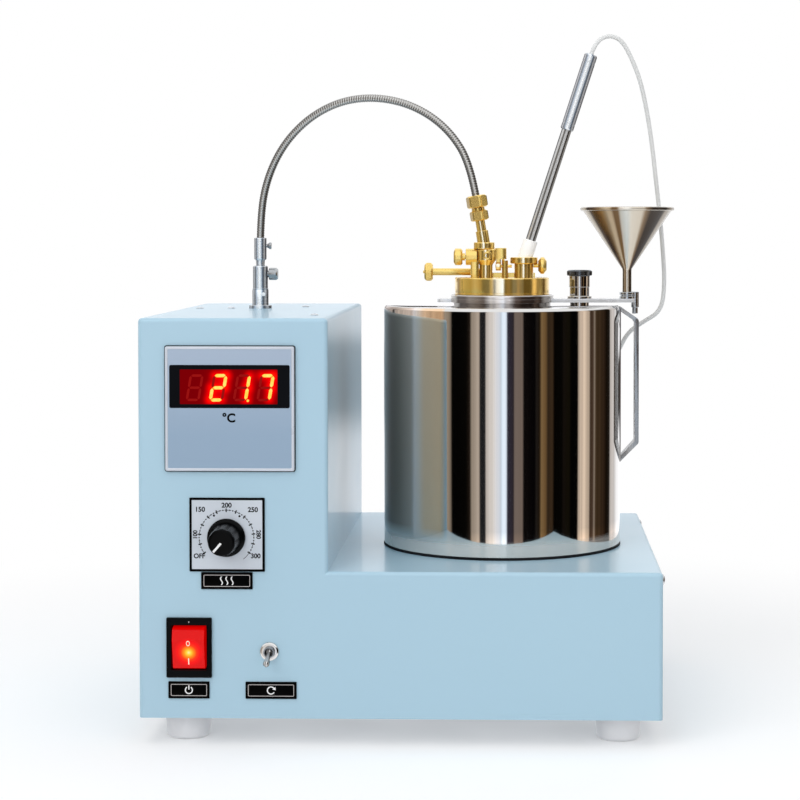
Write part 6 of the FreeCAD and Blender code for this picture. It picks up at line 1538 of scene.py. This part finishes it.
def makeShaft():
    whole = [shaft[key] for key in ("radius", "rings", "sides", "ridge", "pitch")]
    inside = [shaft[key] for key in ("coreRadius", "coreRings", "coreSides")]
    casing = tubeOn("flexibleCasing", shaftLine, "shaftSteel", *whole)
    core = tubeOn("flexibleCore", coreLine, "plainSteel", *inside, pitch=shaft["pitch"])
    for piece, node, line, wide in (
        (casing, "flexible_casing", shaftLine, 0.0047), (core, "flexible_core", coreLine, 0.0022),
    ):
        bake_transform(piece)
        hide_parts(node)


def makeLead():
    tube = tubeOn("probeLead", leadLine, "leadWhite", lead["radius"], lead["rings"], lead["sides"])
    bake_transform(tube)
    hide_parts("probe_lead")


makeShaft()
makeLead()
print("shaft and lead made")

# Room: floor, lamps and what the metal reflects


def onlyLight(tree, colour, strength):
    return addNode(tree, "ShaderNodeEmission", {"Color": colour, "Strength": strength})


def makeFloor():
    # White paper: it shows the shadow near the tester and turns to plain white further off
    reach, paperGlow, fadeStart, fadeEnd = 12, 0.15, 0.32, 0.62
    mesh = bpy.data.meshes.new("floor")
    mesh.from_pydata([(-reach, -reach, 0), (reach, -reach, 0), (reach, reach, 0), (-reach, reach, 0)], [],
                     [(0, 1, 2, 3)])
    floor = shown("floor", mesh)
    material = bpy.data.materials.new("floorPaper")
    material.use_nodes = True
    tree = material.node_tree
    tree.nodes.clear()
    plain = addNode(tree, "ShaderNodeBsdfDiffuse", {"Color": (0.72, 0.72, 0.72, 1)})
    paper = addNode(tree, "ShaderNodeBsdfDiffuse", {"Color": (0.98, 0.98, 0.98, 1)})
    near = addNode(tree, "ShaderNodeAddShader", {0: paper, 1: onlyLight(tree, (1, 1, 1, 1), paperGlow)})
    white = onlyLight(tree, (1, 1, 1, 1), 1.0)
    away = addNode(tree, "ShaderNodeVectorMath", {0: surface(tree)}, operation="LENGTH").outputs["Value"]
    fade = addNode(tree, "ShaderNodeMapRange", {"Value": away, "From Min": fadeStart, "From Max": fadeEnd},
                   interpolation_type="SMOOTHSTEP")
    seen = addNode(tree, "ShaderNodeMixShader", {0: fade, 1: near, 2: white})
    path = addNode(tree, "ShaderNodeLightPath").outputs
    mixed = addNode(tree, "ShaderNodeMixShader", {0: path["Is Camera Ray"], 1: plain, 2: seen})
    addNode(tree, "ShaderNodeOutputMaterial", {"Surface": mixed})
    mesh.materials.append(material)
    floor.visible_glossy = False


screens = {
    # What polished metal reflects: light and dark screens, in degrees from the front towards the right
    "left": [
        (-180, (205, 205, 207)), (-100, (190, 192, 192)), (-93, (168, 170, 172)), (-80, (164, 158, 150)),
        (-66, (158, 150, 138)), (-53, (150, 136, 120)), (-50, (112, 102, 90)), (-48.5, (2, 2, 2)),
        (-34, (6, 5, 4)), (-30, (30, 23, 18)), (-28.5, (154, 142, 128)), (-21.5, (166, 154, 142)),
        (-20.5, (30, 30, 32)), (-15.5, (30, 30, 32)), (-14.5, (190, 182, 176)), (-8, (214, 210, 206)),
        (-5, (220, 222, 228)), (-2, (226, 234, 246)), (0, (206, 222, 238)),
    ],
    "right": [
        (0, (206, 222, 238)), (3, (222, 236, 250)), (4.5, (214, 228, 244)), (5.5, (46, 44, 56)),
        (11.5, (38, 33, 38)), (12.5, (114, 102, 95)), (20, (112, 99, 91)), (21, (12, 9, 9)), (32, (4, 3, 4)),
        (33.5, (30, 27, 25)), (37, (30, 21, 12)), (38.5, (122, 98, 66)), (42, (104, 80, 50)),
        (45, (50, 38, 26)), (50, (48, 36, 24)), (51.5, (4, 3, 2)), (60, (6, 5, 4)), (62, (18, 14, 11)),
        (67, (18, 15, 8)), (71, (3, 3, 3)), (78.5, (3, 3, 3)), (79.3, (200, 182, 164)), (93, (200, 181, 161)),
        (94.5, (60, 46, 36)), (99, (60, 46, 36)), (101, (134, 121, 108)), (103, (64, 49, 33)),
        (117, (42, 30, 21)), (122, (16, 10, 5)), (128, (30, 26, 22)), (131, (186, 180, 176)),
        (180, (205, 205, 207)),
    ],
    # And from level to overhead, as the height of the direction
    "back": [
        (0, (222, 222, 224)), (0.045, (228, 228, 230)), (0.055, (58, 54, 52)), (0.085, (48, 46, 44)),
        (0.1, (232, 232, 234)), (1, (225, 228, 232)),
    ],
}


def makeWorld():
    world = bpy.data.worlds.new("studio")
    scene.world = world
    world.use_nodes = True
    tree = world.node_tree
    tree.nodes.clear()
    parts = addNode(tree, "ShaderNodeSeparateXYZ", {0: surface(tree, "Generated")}).outputs
    angle = lookRound(tree, parts)
    halves = []
    for side, start in (("left", -180), ("right", 0)):
        share = sums(tree, "MULTIPLY_ADD", angle, 1 / math.pi, -start / 180)
        halves.append(toned(tree, share, [((degrees - start) / 180, colour)
                                          for degrees, colour in screens[side]]))
    ring = blended(tree, sums(tree, "GREATER_THAN", angle, 0.0), *halves)
    grain = addNode(tree, "ShaderNodeTexNoise", {
        "W": sums(tree, "MULTIPLY", angle, 9.0), "Scale": 1.0, "Detail": 5.0, "Roughness": 0.7,
    }, noise_dimensions="1D")
    ring = addNode(tree, "ShaderNodeMix", {0: 1.0, 6: ring, 7: between(tree, grain, 0.72, 1.28)},
                   data_type="RGBA", blend_type="MULTIPLY").outputs[2]
    height = sums(tree, "ABSOLUTE", parts["Z"])
    back = toned(tree, height, screens["back"])
    ring = blended(tree, between(tree, parts["Y"], 0, 1, 0.75, 0.85), ring, back)
    over = between(tree, height, 0, 1, 0.25, 0.45)
    reflected = blended(tree, over, ring, (0.8, 0.82, 0.84, 1))
    mirror, room, white = [addNode(tree, "ShaderNodeBackground", {"Color": colour, "Strength": strength})
                           for colour, strength in ((reflected, 1.6), ((0.97, 0.98, 1, 1), 0.5),
                                                    ((1, 1, 1, 1), 1.0))]
    path = addNode(tree, "ShaderNodeLightPath").outputs
    seen = room
    for ray, light in (("Is Glossy Ray", mirror), ("Is Transmission Ray", mirror), ("Is Camera Ray", white)):
        seen = addNode(tree, "ShaderNodeMixShader", {0: path[ray], 1: seen, 2: light})
    addNode(tree, "ShaderNodeOutputWorld", {"Surface": seen})


def makeLamps():
    lamps = {
        "key": {"place": (-0.9, -1.6, 1.4), "size": 1.6, "power": 13.8},
        "fill": {"place": (1.2, -1.6, 0.5), "size": 1.4, "power": 4},
        "low": {"place": (-0.2, -2.0, 0.35), "size": 1.2, "power": 4},
        "back": {"place": (0.4, 1.9, 1.1), "size": 1.6, "power": 6},
        "top": {"place": (0.0, -0.35, 2.0), "size": 2.0, "power": 9},
    }
    aim = Vector((0, 0, 0.15))
    for name, lamp in lamps.items():
        data = bpy.data.lights.new(name, "AREA")
        data.shape = "SQUARE"
        data.size = lamp["size"]
        data.energy = lamp["power"]
        light = bpy.data.objects.new(name, data)
        light.location = lamp["place"]
        light.rotation_euler = (aim - light.location).to_track_quat("-Z", "Y").to_euler()
        light.visible_glossy = False
        scene.collection.objects.link(light)


makeFloor()
makeWorld()
makeLamps()
scene.view_settings.view_transform = "Standard"
print("room made")
